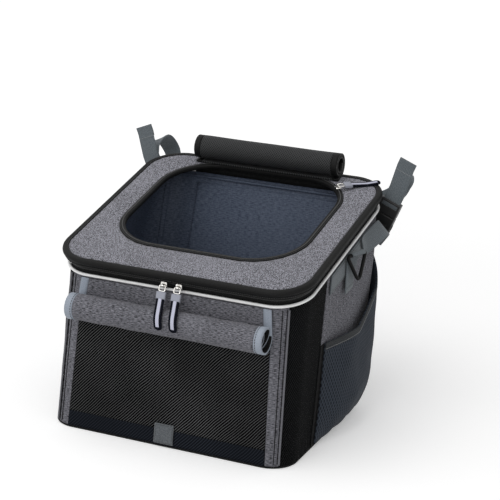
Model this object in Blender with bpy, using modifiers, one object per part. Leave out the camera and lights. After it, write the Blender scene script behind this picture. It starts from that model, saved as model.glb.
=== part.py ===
"""Soft-sided dog basket that hangs from a bicycle's handlebar.

The frame: X to the dog's left as it looks forward over the front panel, so +X is the viewer's right
from the front, +Y towards the rider and +Z up. The origin is the middle of the base's underside.
"""

import math

import bmesh
import bpy
from mathutils import Matrix, Vector

MM = 0.001

# The body: a base, a sloping rim and walls ruled between the two
BODY_WIDTH = 340 * MM
BASE_FLARE = 2 * MM
BASE_DEPTH = 262 * MM
FRONT_HEIGHT = 207 * MM
FRONT_LEAN = 28 * MM
RIM_DEPTH = 313 * MM
RIM_SLOPE = math.radians(12.9)
RIM_RADIUS = 44 * MM
BASE_RADIUS = 36 * MM
SIDE_BULGE = 8 * MM
RIDGE_FOOT_SHARE = 0.15
RIDGE_HEAD_SHARE = 0.94
RIDGE_CURVE = 2.2
SHELL = 3 * MM
MESH_SHELL = 1.4 * MM
BASE_SHELL = 3 * MM
GAP = 0.3 * MM
SOFT_GAP = 0.6 * MM

# The lid, measured from the rim: grow is outwards in the rim's plane, rise is square to it
LID_OVERHANG = 8.5 * MM
LID_TOP_RISE = 23.5 * MM
LID_PANEL_THICK = 5 * MM
LID_SKIRT_FOOT = 9 * MM
LID_SIDE_BORDER = 42 * MM
LID_REAR_BORDER = 17 * MM
HOLE_WIDTH = BODY_WIDTH - 2 * LID_SIDE_BORDER
HOLE_FRONT = 62 * MM
HOLE_REAR = RIM_DEPTH - LID_REAR_BORDER
HOLE_RADIUS = 68 * MM
HOLE_BINDING = 8 * MM

# Webbing, one weave for the bands, tabs and handlebar straps
WEB_WIDTH = 25 * MM
WEB_THICK = 1.8 * MM

# Places round the wall, counted in stretches from the middle of the front:
# 1 to 2 is the front corner, 2 to 3 the side and 3 to 4 the rear corner
WINDOW_EDGE = 1.1
FRONT_SEAM = 1.42
MESH_SEAM = 2.24
REAR_SEAM = 3.5
WHOLE_TURN = 10
ARC_STEPS = 6
SIDE_STEPS = 5

WALL_FOOT = BASE_SHELL + GAP
RIM_FRONT_Y = FRONT_LEAN - BASE_DEPTH / 2
RIM_REAR_Y = RIM_FRONT_Y + RIM_DEPTH * math.cos(RIM_SLOPE)
RIM_REAR_Z = FRONT_HEIGHT + RIM_DEPTH * math.sin(RIM_SLOPE)
BASE_WIDTH = BODY_WIDTH + 2 * BASE_FLARE
HINGE_RISE = LID_SKIRT_FOOT - GAP
SIDES = {"left": -1, "right": 1}

MELANGE = ((0.155, 0.152, 0.158), 0.9, 0)
MELANGE_PALE = ((0.24, 0.24, 0.245), 0.9, 0)
BLACK_CLOTH = ((0.012, 0.012, 0.014), 0.8, 0)
BLACK_MESH = ((0.01, 0.01, 0.011), 0.7, 0)
NAVY_MESH = ((0.032, 0.04, 0.05), 0.8, 0)
NAVY_LINING = ((0.012, 0.016, 0.03), 0.85, 0)
WHITE_PIPING = ((0.85, 0.86, 0.87), 0.45, 0)
REFLECTIVE_GREY = ((0.48, 0.52, 0.57), 0.5, 0)
WEBBING_GREY = ((0.115, 0.135, 0.142), 0.75, 0)
SILVER = ((0.75, 0.74, 0.72), 0.25, 1)
SPRING_STEEL = ((0.4, 0.4, 0.42), 0.4, 1)
BLACK_PLASTIC = ((0.01, 0.01, 0.011), 0.4, 0)
BOARD = ((0.03, 0.03, 0.032), 0.6, 0)
FLEECE = ((0.3, 0.31, 0.33), 0.95, 0)


def clear_scene():
    for obj in list(bpy.data.objects):
        bpy.data.objects.remove(obj, do_unlink=True)


def new_collection(name, hidden=False):
    collection = bpy.data.collections.new(name)
    bpy.context.scene.collection.children.link(collection)
    collection.hide_render = hidden
    return collection


def paint(obj, finish):
    colour, roughness, metallic = finish
    material = bpy.data.materials.new(obj.name)
    material.use_nodes = True
    shader = material.node_tree.nodes["Principled BSDF"]
    shader.inputs["Base Color"].default_value = (*colour, 1)
    shader.inputs["Roughness"].default_value = roughness
    shader.inputs["Metallic"].default_value = metallic
    obj.data.materials.append(material)


def add_mesh(name, points, faces, finish, collection=None):
    mesh = bpy.data.meshes.new(name)
    mesh.from_pydata([tuple(point) for point in points], [], faces)
    shape = bmesh.new()
    shape.from_mesh(mesh)
    bmesh.ops.recalc_face_normals(shape, faces=shape.faces)
    shape.to_mesh(mesh)
    shape.free()
    mesh.shade_smooth()
    mesh.set_sharp_from_angle(angle=math.radians(35))
    obj = bpy.data.objects.new(name, mesh)
    (collection or PARTS).objects.link(obj)
    paint(obj, finish)
    return obj


def loft(name, sections, finish, closed=False):
    """Skin over equal loops of points. A loop's first half faces its second half, point by point."""
    count = len(sections[0])
    points = [point for section in sections for point in section]
    faces = []
    for row in range(len(sections) if closed else len(sections) - 1):
        near = row * count
        far = (row + 1) % len(sections) * count
        for k in range(count):
            after = (k + 1) % count
            faces.append((near + k, near + after, far + after, far + k))
    if not closed:
        for start in (0, (len(sections) - 1) * count):
            for k in range(count // 2 - 1):
                other = count - 1 - k
                faces.append((start + k, start + k + 1, start + other - 1, start + other))
    return add_mesh(name, points, faces, finish)


def tube(name, points, radius, finish, closed=False):
    curve = bpy.data.curves.new(name, "CURVE")
    curve.dimensions = "3D"
    curve.bevel_depth = radius
    curve.bevel_resolution = 2
    curve.use_fill_caps = not closed
    spline = curve.splines.new("POLY")
    spline.points.add(len(points) - 1)
    for place, point in zip(spline.points, points):
        place.co = (*point, 1)
    spline.use_cyclic_u = closed
    obj = bpy.data.objects.new(name, curve)
    PARTS.objects.link(obj)
    paint(obj, finish)
    return obj


def smooth_path(points, steps):
    """A curve through every one of the points, steps to a span."""
    padded = [2 * points[0] - points[1], *points, 2 * points[-1] - points[-2]]
    path = []
    for a, b, c, d in zip(padded, padded[1:], padded[2:], padded[3:]):
        for k in range(steps):
            t = k / steps
            path.append(
                (2 * b + (c - a) * t + (2 * a - 5 * b + 4 * c - d) * t**2
                 + (3 * b - a - 3 * c + d) * t**3) / 2
            )
    return [*path, points[-1]]


def ribbon(name, path, across, thickness, finish):
    """A flat strip: path is its middle line and across is the half width at each of its points."""
    sections = []
    for k, (middle, half) in enumerate(zip(path, across)):
        along = path[min(k + 1, len(path) - 1)] - path[max(k - 1, 0)]
        thick = thickness[k] if isinstance(thickness, list) else thickness
        face = along.cross(half).normalized() * thick / 2
        low, high = middle - face, middle + face
        sections.append([low - half, low + half, high + half, high - half])
    return loft(name, sections, finish)


def frame_at(place, across, out):
    """A matrix that puts local X along across, local Y along out and local Z square to both."""
    x_axis = across.normalized()
    z_axis = x_axis.cross(out).normalized()
    y_axis = z_axis.cross(x_axis)
    return Matrix.Translation(place) @ Matrix((x_axis, y_axis, z_axis)).transposed().to_4x4()


def box_points(low, high):
    return [Vector((x, y, z)) for z in (low[2], high[2]) for x, y in
            ((low[0], low[1]), (high[0], low[1]), (high[0], high[1]), (low[0], high[1]))]


BOX_FACES = [(0, 1, 2, 3), (4, 5, 6, 7), (0, 1, 5, 4), (1, 2, 6, 5), (2, 3, 7, 6), (3, 0, 4, 7)]


def box(name, low, high, place, finish, bevel=0, collection=None):
    """A box given by two corners of the local frame that the matrix places."""
    obj = add_mesh(name, box_points(low, high), BOX_FACES, finish, collection)
    obj.matrix_world = place
    if bevel:
        rounded = obj.modifiers.new("edges", "BEVEL")
        rounded.width = bevel
        rounded.segments = 2
    return obj


def cutter_box(name, low, high, place):
    obj = box(name, low, high, place, BLACK_PLASTIC, collection=CUTTERS)
    obj.hide_render = True
    obj.display_type = "WIRE"
    return obj


def cut(obj, cutter):
    taken = obj.modifiers.new("cut", "BOOLEAN")
    taken.operation = "DIFFERENCE"
    taken.object = cutter


def pivot(name, place):
    """An empty on a joint's axis, which carries what turns or slides there."""
    empty = bpy.data.objects.new(name, None)
    empty.location = place
    PARTS.objects.link(empty)
    return empty


def carry(empty, pieces):
    bpy.context.view_layer.update()
    for piece in pieces:
        piece.parent = empty
        piece.matrix_parent_inverse = empty.matrix_world.inverted()


def outline(place, width, depth, radius):
    """Point and outward direction on a rounded rectangle whose front edge lies at depth zero."""
    turn = place % WHOLE_TURN
    side = 1 if turn <= WHOLE_TURN / 2 else -1
    turn = min(turn, WHOLE_TURN - turn)
    stretch = min(int(turn), 4)
    share = turn - stretch
    half = width / 2 - radius
    angle = share * math.pi / 2
    if stretch == 0:
        x, y, out = half * share, 0, (0, -1)
    elif stretch == 1:
        out = (math.sin(angle), -math.cos(angle))
        x, y = half + radius * out[0], radius + radius * out[1]
    elif stretch == 2:
        x, y, out = half + radius, radius + (depth - 2 * radius) * share, (1, 0)
    elif stretch == 3:
        out = (math.cos(angle), math.sin(angle))
        x, y = half + radius * out[0], depth - radius + radius * out[1]
    else:
        x, y, out = half * (1 - share), depth, (0, 1)
    return side * x, y, side * out[0], out[1]


def rim_point(x, down_slope, rise=0):
    """A point of the rim's sloping plane, and above it by rise."""
    y = RIM_FRONT_Y + down_slope * math.cos(RIM_SLOPE) - rise * math.sin(RIM_SLOPE)
    z = FRONT_HEIGHT + down_slope * math.sin(RIM_SLOPE) + rise * math.cos(RIM_SLOPE)
    return Vector((x, y, z))


def lid_point(place, grow, rise):
    x, y, out_x, out_y = outline(place, BODY_WIDTH, RIM_DEPTH, RIM_RADIUS)
    return rim_point(x + out_x * grow, y + out_y * grow, rise)


def hole_point(place, grow, rise):
    x, y, out_x, out_y = outline(place, HOLE_WIDTH, HOLE_REAR - HOLE_FRONT, HOLE_RADIUS)
    return rim_point(x + out_x * grow, HOLE_FRONT + y + out_y * grow, rise)


def bulge(place, height):
    """How far the side swells, most along a ridge from its foot in front to the top of the rear corner."""
    turn = min(place % WHOLE_TURN, -place % WHOLE_TURN)
    share = (turn - MESH_SEAM) / (REAR_SEAM - MESH_SEAM)
    if not 0 < share < 1:
        return 0
    height = min(max(height, 0), 1)
    ridge = RIDGE_FOOT_SHARE + (RIDGE_HEAD_SHARE - RIDGE_FOOT_SHARE) * height**RIDGE_CURVE
    across = share / ridge if share < ridge else (1 - share) / (1 - ridge)
    return SIDE_BULGE * math.sin(math.pi / 2 * across) * math.sin(math.pi * height)


def wall_point(place, height, out=0):
    """A point of the wall: height is the share from the base to the rim, out is the distance outwards."""
    base_x, base_y, base_ox, base_oy = outline(place, BASE_WIDTH, BASE_DEPTH, BASE_RADIUS)
    rim_x, rim_y, rim_ox, rim_oy = outline(place, BODY_WIDTH, RIM_DEPTH, RIM_RADIUS)
    foot = Vector((base_x, base_y - BASE_DEPTH / 2, WALL_FOOT))
    outward = Vector((base_ox, base_oy, 0)).lerp(Vector((rim_ox, rim_oy, 0)), height).normalized()
    return foot.lerp(rim_point(rim_x, rim_y), height) + outward * (out + bulge(place, height))


def stretch_length(place):
    arc = RIM_RADIUS * math.pi / 2
    lengths = (BODY_WIDTH / 2 - RIM_RADIUS, arc, RIM_DEPTH - 2 * RIM_RADIUS, arc, BODY_WIDTH / 2 - RIM_RADIUS)
    return lengths[min(int(min(place % WHOLE_TURN, -place % WHOLE_TURN)), 4)]


def along_wall(place, distance):
    return place + distance / stretch_length(place)


def wall_height(place):
    """Length of the wall from foot to rim at this place."""
    return (wall_point(place, 1) - wall_point(place, 0)).length


def wall_head(place):
    """The height at which the wall's inner edge, level with its outer one, still lies below the rim."""
    out_y = outline(place, BODY_WIDTH, RIM_DEPTH, RIM_RADIUS)[3]
    return 1 - SHELL * math.sin(RIM_SLOPE) * max(out_y, 0) / wall_height(place)


def stations(start, end):
    """Places from start to end, close together round the corners."""
    places = {start, end}
    for whole in range(math.floor(start), math.ceil(end)):
        turn = min(whole % WHOLE_TURN, (-whole - 1) % WHOLE_TURN)
        steps = {0: 1, 1: ARC_STEPS, 2: SIDE_STEPS, 3: ARC_STEPS, 4: 1}[turn]
        places |= {whole + k / steps for k in range(steps + 1) if start < whole + k / steps < end}
    ordered = sorted(places)
    return [a for a, b in zip(ordered, ordered[1:] + [math.inf]) if b - a > 0.01]


def wall_panel(name, start, end, foot, head, inner, outer, finish, rows=1):
    """A piece of the wall between two places, two heights and two distances outwards."""
    sections = []
    for place in stations(start, end):
        low = foot(place) if callable(foot) else foot
        high = head(place) if callable(head) else head
        heights = [low + (high - low) * k / rows for k in range(rows + 1)]
        depth = outer if callable(outer) else lambda p, h: outer
        wall = inner if callable(inner) else lambda p, h: inner
        skin = [wall_point(place, height, depth(place, height)) for height in heights]
        back = [wall_point(place, height, wall(place, height)) for height in reversed(heights)]
        sections.append(skin + back)
    return loft(name, sections, finish)


def ring(name, section, finish, point=lid_point, start=0, end=None):
    """A band swept round the rim or the hole. The section's points are (grow, rise)."""
    closed = end is None
    places = stations(start, WHOLE_TURN if closed else end)
    places = places[:-1] if closed else places
    loops = [[point(place, grow, rise) for grow, rise in section] for place in places]
    return loft(name, loops, finish, closed=closed)


def hoop(name, point, radius, finish):
    places = stations(0, WHOLE_TURN)[:-1]
    return tube(name, [point(place) for place in places], radius, finish, closed=True)


# Base: a fabric bottom with a stiff board on it, and a loose padded mat

BOARD_THICK = 3 * MM
BOARD_INSET = 2 * MM
MAT_THICK = 15 * MM
MAT_INSET = 14 * MM
MAT_CROWN = 5 * MM
MAT_CHANNEL_DEPTH = 3 * MM
MAT_COLUMNS = 14
MAT_ROWS = 12
MAT_CHANNELS = 3


def base_section(inset, z):
    loop = []
    for place in stations(0, WHOLE_TURN)[:-1]:
        x, y, out_x, out_y = outline(place, BASE_WIDTH, BASE_DEPTH, BASE_RADIUS)
        loop.append(Vector((x - out_x * inset, y - out_y * inset - BASE_DEPTH / 2, z)))
    return loop


def flat_plate(name, inset, low, high, finish):
    sections = [base_section(inset, low), base_section(inset, high)]
    count = len(sections[0])
    points = sections[0] + sections[1]
    faces = [tuple(range(count)), tuple(range(count, 2 * count))]
    faces += [(k, (k + 1) % count, count + (k + 1) % count, count + k) for k in range(count)]
    return add_mesh(name, points, faces, finish)


def floor_cushion():
    """A crowned mat: its top is sewn down in channels across and its sides draw in between the corners."""
    half_x = BODY_WIDTH / 2 - SHELL - MAT_INSET
    half_y = BASE_DEPTH / 2 - SHELL - MAT_INSET
    floor = WALL_FOOT + BOARD_THICK + GAP
    sections = []
    for row in range(MAT_ROWS + 1):
        v = 2 * row / MAT_ROWS - 1
        top = []
        bottom = []
        for column in range(MAT_COLUMNS + 1):
            u = 2 * column / MAT_COLUMNS - 1
            drawn_x = half_x - MAT_CROWN * (1 - v * v)
            drawn_y = half_y - MAT_CROWN * (1 - u * u)
            edge = (1 - u**6) * (1 - v**6)
            channel = MAT_CHANNEL_DEPTH * max(0, math.cos(math.pi * (MAT_CHANNELS + 1) * u)) ** 4 * edge
            rise = (MAT_THICK - MAT_CROWN) / 2 + (MAT_THICK + MAT_CROWN) / 2 * edge**0.5 - channel
            top.append(Vector((u * drawn_x, v * drawn_y, floor + rise)))
            bottom.append(Vector((u * drawn_x, v * drawn_y, floor)))
        sections.append(top + bottom[::-1])
    return loft("floor_cushion", sections, FLEECE)


def base():
    flat_plate("base_panel", 0, 0, BASE_SHELL, BLACK_CLOTH)
    flat_plate("base_board", SHELL + BOARD_INSET, WALL_FOOT, WALL_FOOT + BOARD_THICK, BOARD)
    floor_cushion()


# Walls: panels sewn edge to edge, with mesh windows in the front and at the front of each side

LOWER_BAND_HEIGHT = 20 * MM
TOP_BAND_HEIGHT = 30 * MM
TOP_HEM = 0.2 * MM
BACK_BOARD_THICK = 3 * MM
BACK_BOARD_START = 4.12
BACK_BOARD_FOOT_SHARE = 0.06
BACK_BOARD_HEAD_SHARE = 0.95
CORNER_PIPING_RADIUS = 1.3 * MM
CORNER_PIPING_SHARES = (0.012, 0.25, 0.5, 0.75, 0.97)
PANEL_ROWS = 6


def sided(start, end, side):
    """The same stretch of wall on the right, or mirrored to the left."""
    return (start, end) if side > 0 else (WHOLE_TURN - end, WHOLE_TURN - start)


def front_walls():
    low = LOWER_BAND_HEIGHT / wall_height(0)
    high = 1 - TOP_BAND_HEIGHT / wall_height(0)
    seam = GAP / wall_height(0)
    wall_panel("front_lower_band", -WINDOW_EDGE, WINDOW_EDGE, 0, low, -SHELL, 0, NAVY_LINING)
    wall_panel(
        "front_window_mesh", -WINDOW_EDGE, WINDOW_EDGE, low + seam, high - seam, -MESH_SHELL, 0, BLACK_MESH,
    )
    wall_panel("front_top_band", -WINDOW_EDGE, WINDOW_EDGE, high, wall_head, -SHELL, 0, MELANGE)


def side_walls(name, side):
    strip = sided(along_wall(WINDOW_EDGE, SOFT_GAP), FRONT_SEAM, side)
    wall_panel("front_corner_strip_" + name, *strip, 0, wall_head, -SHELL, 0, MELANGE)
    window = sided(along_wall(FRONT_SEAM, SOFT_GAP), MESH_SEAM, side)
    wall_panel("side_mesh_" + name, *window, 0, wall_head, -MESH_SHELL, 0, BLACK_MESH)
    panel = sided(along_wall(MESH_SEAM, SOFT_GAP), REAR_SEAM, side)
    wall_panel("side_panel_" + name, *panel, 0, wall_head, -SHELL, 0, MELANGE, rows=PANEL_ROWS)
    seam = FRONT_SEAM if side > 0 else WHOLE_TURN - FRONT_SEAM
    out = CORNER_PIPING_RADIUS + SOFT_GAP
    line = [wall_point(seam, share, out) for share in CORNER_PIPING_SHARES]
    tube("corner_piping_" + name, line, CORNER_PIPING_RADIUS, REFLECTIVE_GREY)


def back_wall():
    start = along_wall(REAR_SEAM, SOFT_GAP)
    wall_panel("back_panel", start, WHOLE_TURN - start, 0, wall_head, -SHELL, 0, MELANGE)
    inner = -SHELL - GAP - BACK_BOARD_THICK
    wall_panel(
        "back_board", BACK_BOARD_START, WHOLE_TURN - BACK_BOARD_START,
        BACK_BOARD_FOOT_SHARE, BACK_BOARD_HEAD_SHARE, inner, -SHELL - GAP, BOARD,
    )


# Side pockets: stretchy mesh sewn on at the front, foot and rear, standing off the side at its mouth

POCKET_SHELL = 2 * MM
POCKET_STAND = 20 * MM
POCKET_SEAM_GAP = 1.1 * MM
POCKET_FULLEST_SHARE = 0.35
POCKET_MOUTH_STAND_SHARE = 0.4
POCKET_START = 2.27
POCKET_END = 3.42
POCKET_RIDGE_SHARE = 0.36
POCKET_FOOT_SHARE = 0.01
POCKET_FRONT_MOUTH_SHARE = 0.59
POCKET_RIDGE_MOUTH_SHARE = 0.54
POCKET_REAR_MOUTH_SHARE = 0.76
POCKET_ROWS = 7


def pocket_share(place):
    turn = min(place % WHOLE_TURN, -place % WHOLE_TURN)
    return min(max((turn - POCKET_START) / (POCKET_END - POCKET_START), 0), 1)


def pocket_mouth(place):
    """The mouth dips a little to the ridge and then climbs to the rear corner."""
    share = pocket_share(place)
    if share < POCKET_RIDGE_SHARE:
        fall = POCKET_RIDGE_MOUTH_SHARE - POCKET_FRONT_MOUTH_SHARE
        return POCKET_FRONT_MOUTH_SHARE + fall * share / POCKET_RIDGE_SHARE
    climb = (share - POCKET_RIDGE_SHARE) / (1 - POCKET_RIDGE_SHARE)
    return POCKET_RIDGE_MOUTH_SHARE + (POCKET_REAR_MOUTH_SHARE - POCKET_RIDGE_MOUTH_SHARE) * climb


def pocket_stand(place, height):
    """Distance of the pocket's inner face from the side panel: nothing at its sewn edges."""
    share = pocket_share(place)
    if share < POCKET_RIDGE_SHARE:
        across = math.sin(math.pi / 2 * share / POCKET_RIDGE_SHARE)
    else:
        across = math.cos(math.pi / 2 * (share - POCKET_RIDGE_SHARE) / (1 - POCKET_RIDGE_SHARE))
    up = (height - POCKET_FOOT_SHARE) / (pocket_mouth(place) - POCKET_FOOT_SHARE)
    if up < POCKET_FULLEST_SHARE:
        full = math.sin(math.pi / 2 * max(up, 0) / POCKET_FULLEST_SHARE) ** 0.6
    else:
        full = 1 - (1 - POCKET_MOUTH_STAND_SHARE) * (up - POCKET_FULLEST_SHARE) / (1 - POCKET_FULLEST_SHARE)
    return POCKET_SEAM_GAP + POCKET_STAND * across * full


def side_pocket(name, side):
    wall_panel(
        "side_pocket_" + name, *sided(POCKET_START, POCKET_END, side), POCKET_FOOT_SHARE, pocket_mouth,
        pocket_stand, lambda place, height: pocket_stand(place, height) + POCKET_SHELL,
        NAVY_MESH, rows=POCKET_ROWS,
    )


# Rim: white piping, a spring-steel hoop in the hem, the zip's tape and teeth, and the fabric hinge

PIPING_RADIUS = 2 * MM
RIM_WIRE_RADIUS = 1.5 * MM
RIM_WIRE_DROP = 5 * MM
ZIP_END = 3.95
HINGE_START = 4.06
TAPE_INNER = -2.6 * MM
TAPE_OUTER = -0.4 * MM
TAPE_TOP = 6 * MM
TEETH_RADIUS = 1.2 * MM


def rim():
    grow = PIPING_RADIUS + SOFT_GAP
    hoop("rim_piping", lambda place: lid_point(place, grow, 0), PIPING_RADIUS, WHITE_PIPING)
    inset = SHELL + SOFT_GAP + GAP + RIM_WIRE_RADIUS
    hoop(
        "rim_wire", lambda place: wall_point(place, 1 - RIM_WIRE_DROP / wall_height(place), -inset),
        RIM_WIRE_RADIUS, SPRING_STEEL,
    )
    tape = [(TAPE_INNER, GAP), (TAPE_OUTER, GAP), (TAPE_OUTER, TAPE_TOP), (TAPE_INNER, TAPE_TOP)]
    ring("body_zip_tape", tape, BLACK_CLOTH, start=-ZIP_END, end=ZIP_END)
    rise = TAPE_TOP + GAP + TEETH_RADIUS
    places = stations(-ZIP_END, ZIP_END)
    line = [lid_point(place, TAPE_OUTER, rise) for place in places]
    tube("zip_teeth", line, TEETH_RADIUS, BLACK_PLASTIC)
    hinge = [(TAPE_INNER, GAP), (TAPE_OUTER, GAP), (TAPE_OUTER, HINGE_RISE), (TAPE_INNER, HINGE_RISE)]
    ring("lid_hinge_tape", hinge, BLACK_CLOTH, start=HINGE_START, end=WHOLE_TURN - HINGE_START)


# Lid: a skirt with the upper zip tape, a padded panel with a big opening, its binding and a hoop

SKIRT_THICK = 3 * MM
SKIRT_BELLY = 6.6 * MM
SKIRT_BELLY_RISE = 15 * MM
BORDER_WIDTH = 8 * MM
LID_CROWN = 1.6 * MM
LID_WIRE_RADIUS = 1.4 * MM
BINDING_PROUD = 1.2 * MM


def lid():
    top = LID_TOP_RISE
    shoulder = top - LID_PANEL_THICK
    skirt = [
        (TAPE_OUTER, LID_SKIRT_FOOT), (SKIRT_BELLY, SKIRT_BELLY_RISE), (LID_OVERHANG, shoulder),
        (LID_OVERHANG - GAP, top - BINDING_PROUD), (LID_OVERHANG - BINDING_PROUD, top),
        (LID_OVERHANG - BORDER_WIDTH, top), (LID_OVERHANG - BORDER_WIDTH, shoulder),
        (LID_OVERHANG - SKIRT_THICK, shoulder - BINDING_PROUD), (SKIRT_BELLY - SKIRT_THICK, SKIRT_BELLY_RISE),
        (TAPE_INNER, LID_SKIRT_FOOT),
    ]
    pieces = [ring("lid_skirt", skirt, BLACK_CLOTH)]
    places = stations(0, WHOLE_TURN)[:-1]
    loops = []
    for place in places:
        inner = hole_point(place, HOLE_BINDING + GAP, 0)
        outer = lid_point(place, LID_OVERHANG - BORDER_WIDTH - GAP, 0)
        rise = rim_point(0, 0, 1) - rim_point(0, 0, 0)
        middle = inner.lerp(outer, 0.5)
        low = shoulder * rise
        high = (top - GAP) * rise
        loops.append([
            inner + low, middle + low, outer + low,
            outer + high, middle + high + LID_CROWN * rise, inner + high,
        ])
    pieces.append(loft("lid_panel", loops, MELANGE_PALE, closed=True))
    binding = [
        (0, shoulder), (HOLE_BINDING, shoulder),
        (HOLE_BINDING, top + BINDING_PROUD), (0, top + BINDING_PROUD),
    ]
    pieces.append(ring("lid_opening_binding", binding, BLACK_CLOTH, point=hole_point))
    wire_grow = LID_OVERHANG - BORDER_WIDTH - GAP - LID_WIRE_RADIUS
    wire_rise = shoulder - GAP - LID_WIRE_RADIUS
    pieces.append(hoop(
        "lid_wire", lambda place: lid_point(place, wire_grow, wire_rise), LID_WIRE_RADIUS, SPRING_STEEL,
    ))
    return pieces


# Rolls: the mesh door of the lid's opening, and the front flap, both wound up on themselves

ROLL_TURN_STEPS = 14
MESH_ROLL_RADIUS = 17.5 * MM
MESH_ROLL_PITCH = 4 * MM
MESH_ROLL_SHEET = 2.6 * MM
MESH_ROLL_TURNS = 2.25
MESH_ROLL_HALF = 108 * MM
MESH_ROLL_PLACE = 306 * MM
MESH_ROLL_TAIL = 11 * MM
ROLL_HEM = 9 * MM
FLAP_SHEET = 2.2 * MM
FLAP_HEM_SHEET = 2.7 * MM
FLAP_PITCH = 3.6 * MM
FLAP_RADIUS = 18 * MM
FLAP_TURNS = 2.4
FLAP_ROLL_DROP = 37 * MM
FLAP_TOP_DROP = 4.5 * MM
FLAP_TOP_HALF = 134 * MM
FLAP_ROLL_HALF = 138 * MM
FLAP_HEM = 11 * MM
FLAP_OVERLAP = 1.2 * MM


def spiral(centre, back, down, radius, pitch, turns):
    """Points of a sheet that arrives at centre + back going down, and winds round and inwards."""
    steps = int(turns * ROLL_TURN_STEPS)
    points = []
    for k in range(1, steps + 1):
        angle = 2 * math.pi * k / ROLL_TURN_STEPS
        reach = radius - pitch * k / ROLL_TURN_STEPS
        points.append(centre + (back * math.cos(angle) + down * math.sin(angle)) * reach)
    return points


def strip_between(name, path, lefts, rights, sheet, finish):
    """A sheet along a path in the YZ plane, from one X to another at each point."""
    middles = [Vector(((a + b) / 2, point.y, point.z)) for point, a, b in zip(path, lefts, rights)]
    halves = [Vector(((b - a) / 2, 0, 0)) for a, b in zip(lefts, rights)]
    return ribbon(name, middles, halves, sheet, finish)


def hemmed_roll(names, path, halves, hem, sheets, finishes):
    """The sheet's middle, and the hem along each of its side edges."""
    inner = [half - hem for half in halves]
    joint = [half - hem + GAP for half in halves]
    pieces = [strip_between(names[0], path, [-x for x in inner], inner, sheets[0], finishes[0])]
    outer = [-half for half in halves]
    pieces.append(strip_between(names[1], path, outer, [-x for x in joint], sheets[1], finishes[1]))
    pieces.append(strip_between(names[2], path, joint, halves, sheets[1], finishes[1]))
    return pieces


def mesh_roll():
    lying = LID_TOP_RISE + BINDING_PROUD + GAP + (MESH_ROLL_SHEET + GAP) / 2
    up = (rim_point(0, 0, 1) - rim_point(0, 0, 0)).normalized()
    back = (rim_point(0, 1) - rim_point(0, 0)).normalized()
    seat = rim_point(0, MESH_ROLL_PLACE, lying)
    centre = seat + up * MESH_ROLL_RADIUS
    path = [seat - back * MESH_ROLL_TAIL, seat - back * MESH_ROLL_TAIL / 2, seat]
    path += spiral(centre, -up, back, MESH_ROLL_RADIUS, MESH_ROLL_PITCH, MESH_ROLL_TURNS)
    names = ("top_mesh_roll", "top_mesh_hem_left", "top_mesh_hem_right")
    halves = [MESH_ROLL_HALF] * len(path)
    sheets = (MESH_ROLL_SHEET, MESH_ROLL_SHEET + GAP)
    return hemmed_roll(names, path, halves, ROLL_HEM, sheets, (BLACK_MESH, BLACK_CLOTH))


def flap_roll_seat():
    """Where the hanging flap meets its own roll, and the roll's centre."""
    arrive = wall_point(0, 1 - FLAP_ROLL_DROP / wall_height(0), SOFT_GAP + FLAP_HEM_SHEET / 2)
    return arrive, arrive + Vector((0, -FLAP_RADIUS, 0))


def front_flap():
    """The flap hangs from the rim and is rolled up outwards to just below it."""
    head = wall_point(0, 1 - FLAP_TOP_DROP / wall_height(0), SOFT_GAP + FLAP_HEM_SHEET / 2)
    arrive, centre = flap_roll_seat()
    path = [head, head.lerp(arrive, 0.5), arrive]
    path += spiral(centre, Vector((0, 1, 0)), Vector((0, 0, -1)), FLAP_RADIUS, FLAP_PITCH, FLAP_TURNS)
    halves = [FLAP_TOP_HALF, (FLAP_TOP_HALF + FLAP_ROLL_HALF) / 2]
    halves += [FLAP_ROLL_HALF] * (len(path) - len(halves))
    names = ("front_flap", "front_flap_binding_left", "front_flap_binding_right")
    sheets = (FLAP_SHEET, FLAP_HEM_SHEET)
    return hemmed_roll(names, path, halves, FLAP_HEM, sheets, (MELANGE, REFLECTIVE_GREY))


TAB_WIDTH = 25 * MM
TAB_FOOT = 2 * MM
TAB_HEIGHT = 26 * MM
TAB_THICK = 1.8 * MM


def closing_tab():
    """The hook-and-loop patch at the window's foot, where the flap's lower edge sticks when down."""
    edge = TAB_WIDTH / 2 / stretch_length(0)
    height = wall_height(0)
    low = TAB_FOOT / height
    high = (TAB_FOOT + TAB_HEIGHT) / height
    wall_panel("window_closing_tab", -edge, edge, low, high, SOFT_GAP, SOFT_GAP + TAB_THICK, WEBBING_GREY)


# Zip sliders: a metal body with an eye, a square ring through the eye and a rubber pull on the ring

SLIDER_LENGTH = 9 * MM
SLIDER_PLATE = 2 * MM
SLIDER_HEIGHT = 9 * MM
SLIDER_STEM = 1.8 * MM
STEM_LENGTH = 4.2 * MM
TOP_STEM_LENGTH = 2.4 * MM
EYE_LENGTH = 3 * MM
EYE_OUT = 4.6 * MM
EYE_HEIGHT = 4.6 * MM
EYE_BORE = 2.8 * MM
RING_WIRE = 0.9 * MM
RING_WIDTH = 8.4 * MM
RING_DROP = 8.2 * MM
RING_CORNER = 1.2 * MM
SLEEVE_WIDTH = 13 * MM
SLEEVE_HEIGHT = 10 * MM
SLEEVE_THICK = 5 * MM
TONGUE_WIDTH = 11 * MM
TONGUE_LENGTH = 41 * MM
TONGUE_THICK = 2.8 * MM
TONGUE_SHARES = (0, 0.25, 0.4, 0.55, 0.7, 0.85, 0.96, 1)
PULL_LEAN = 0.2
FRONT_SLIDER_SPACING = 21 * MM
FRONT_SLIDER_SHIFT = -2 * MM
FRONT_SLIDER_GROW = 5.4 * MM
FRONT_SLIDER_RISE = 7.6 * MM
TOP_SLIDER_ANGLE = math.radians(38)
TOP_SLIDER_GROW = 4 * MM


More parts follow.
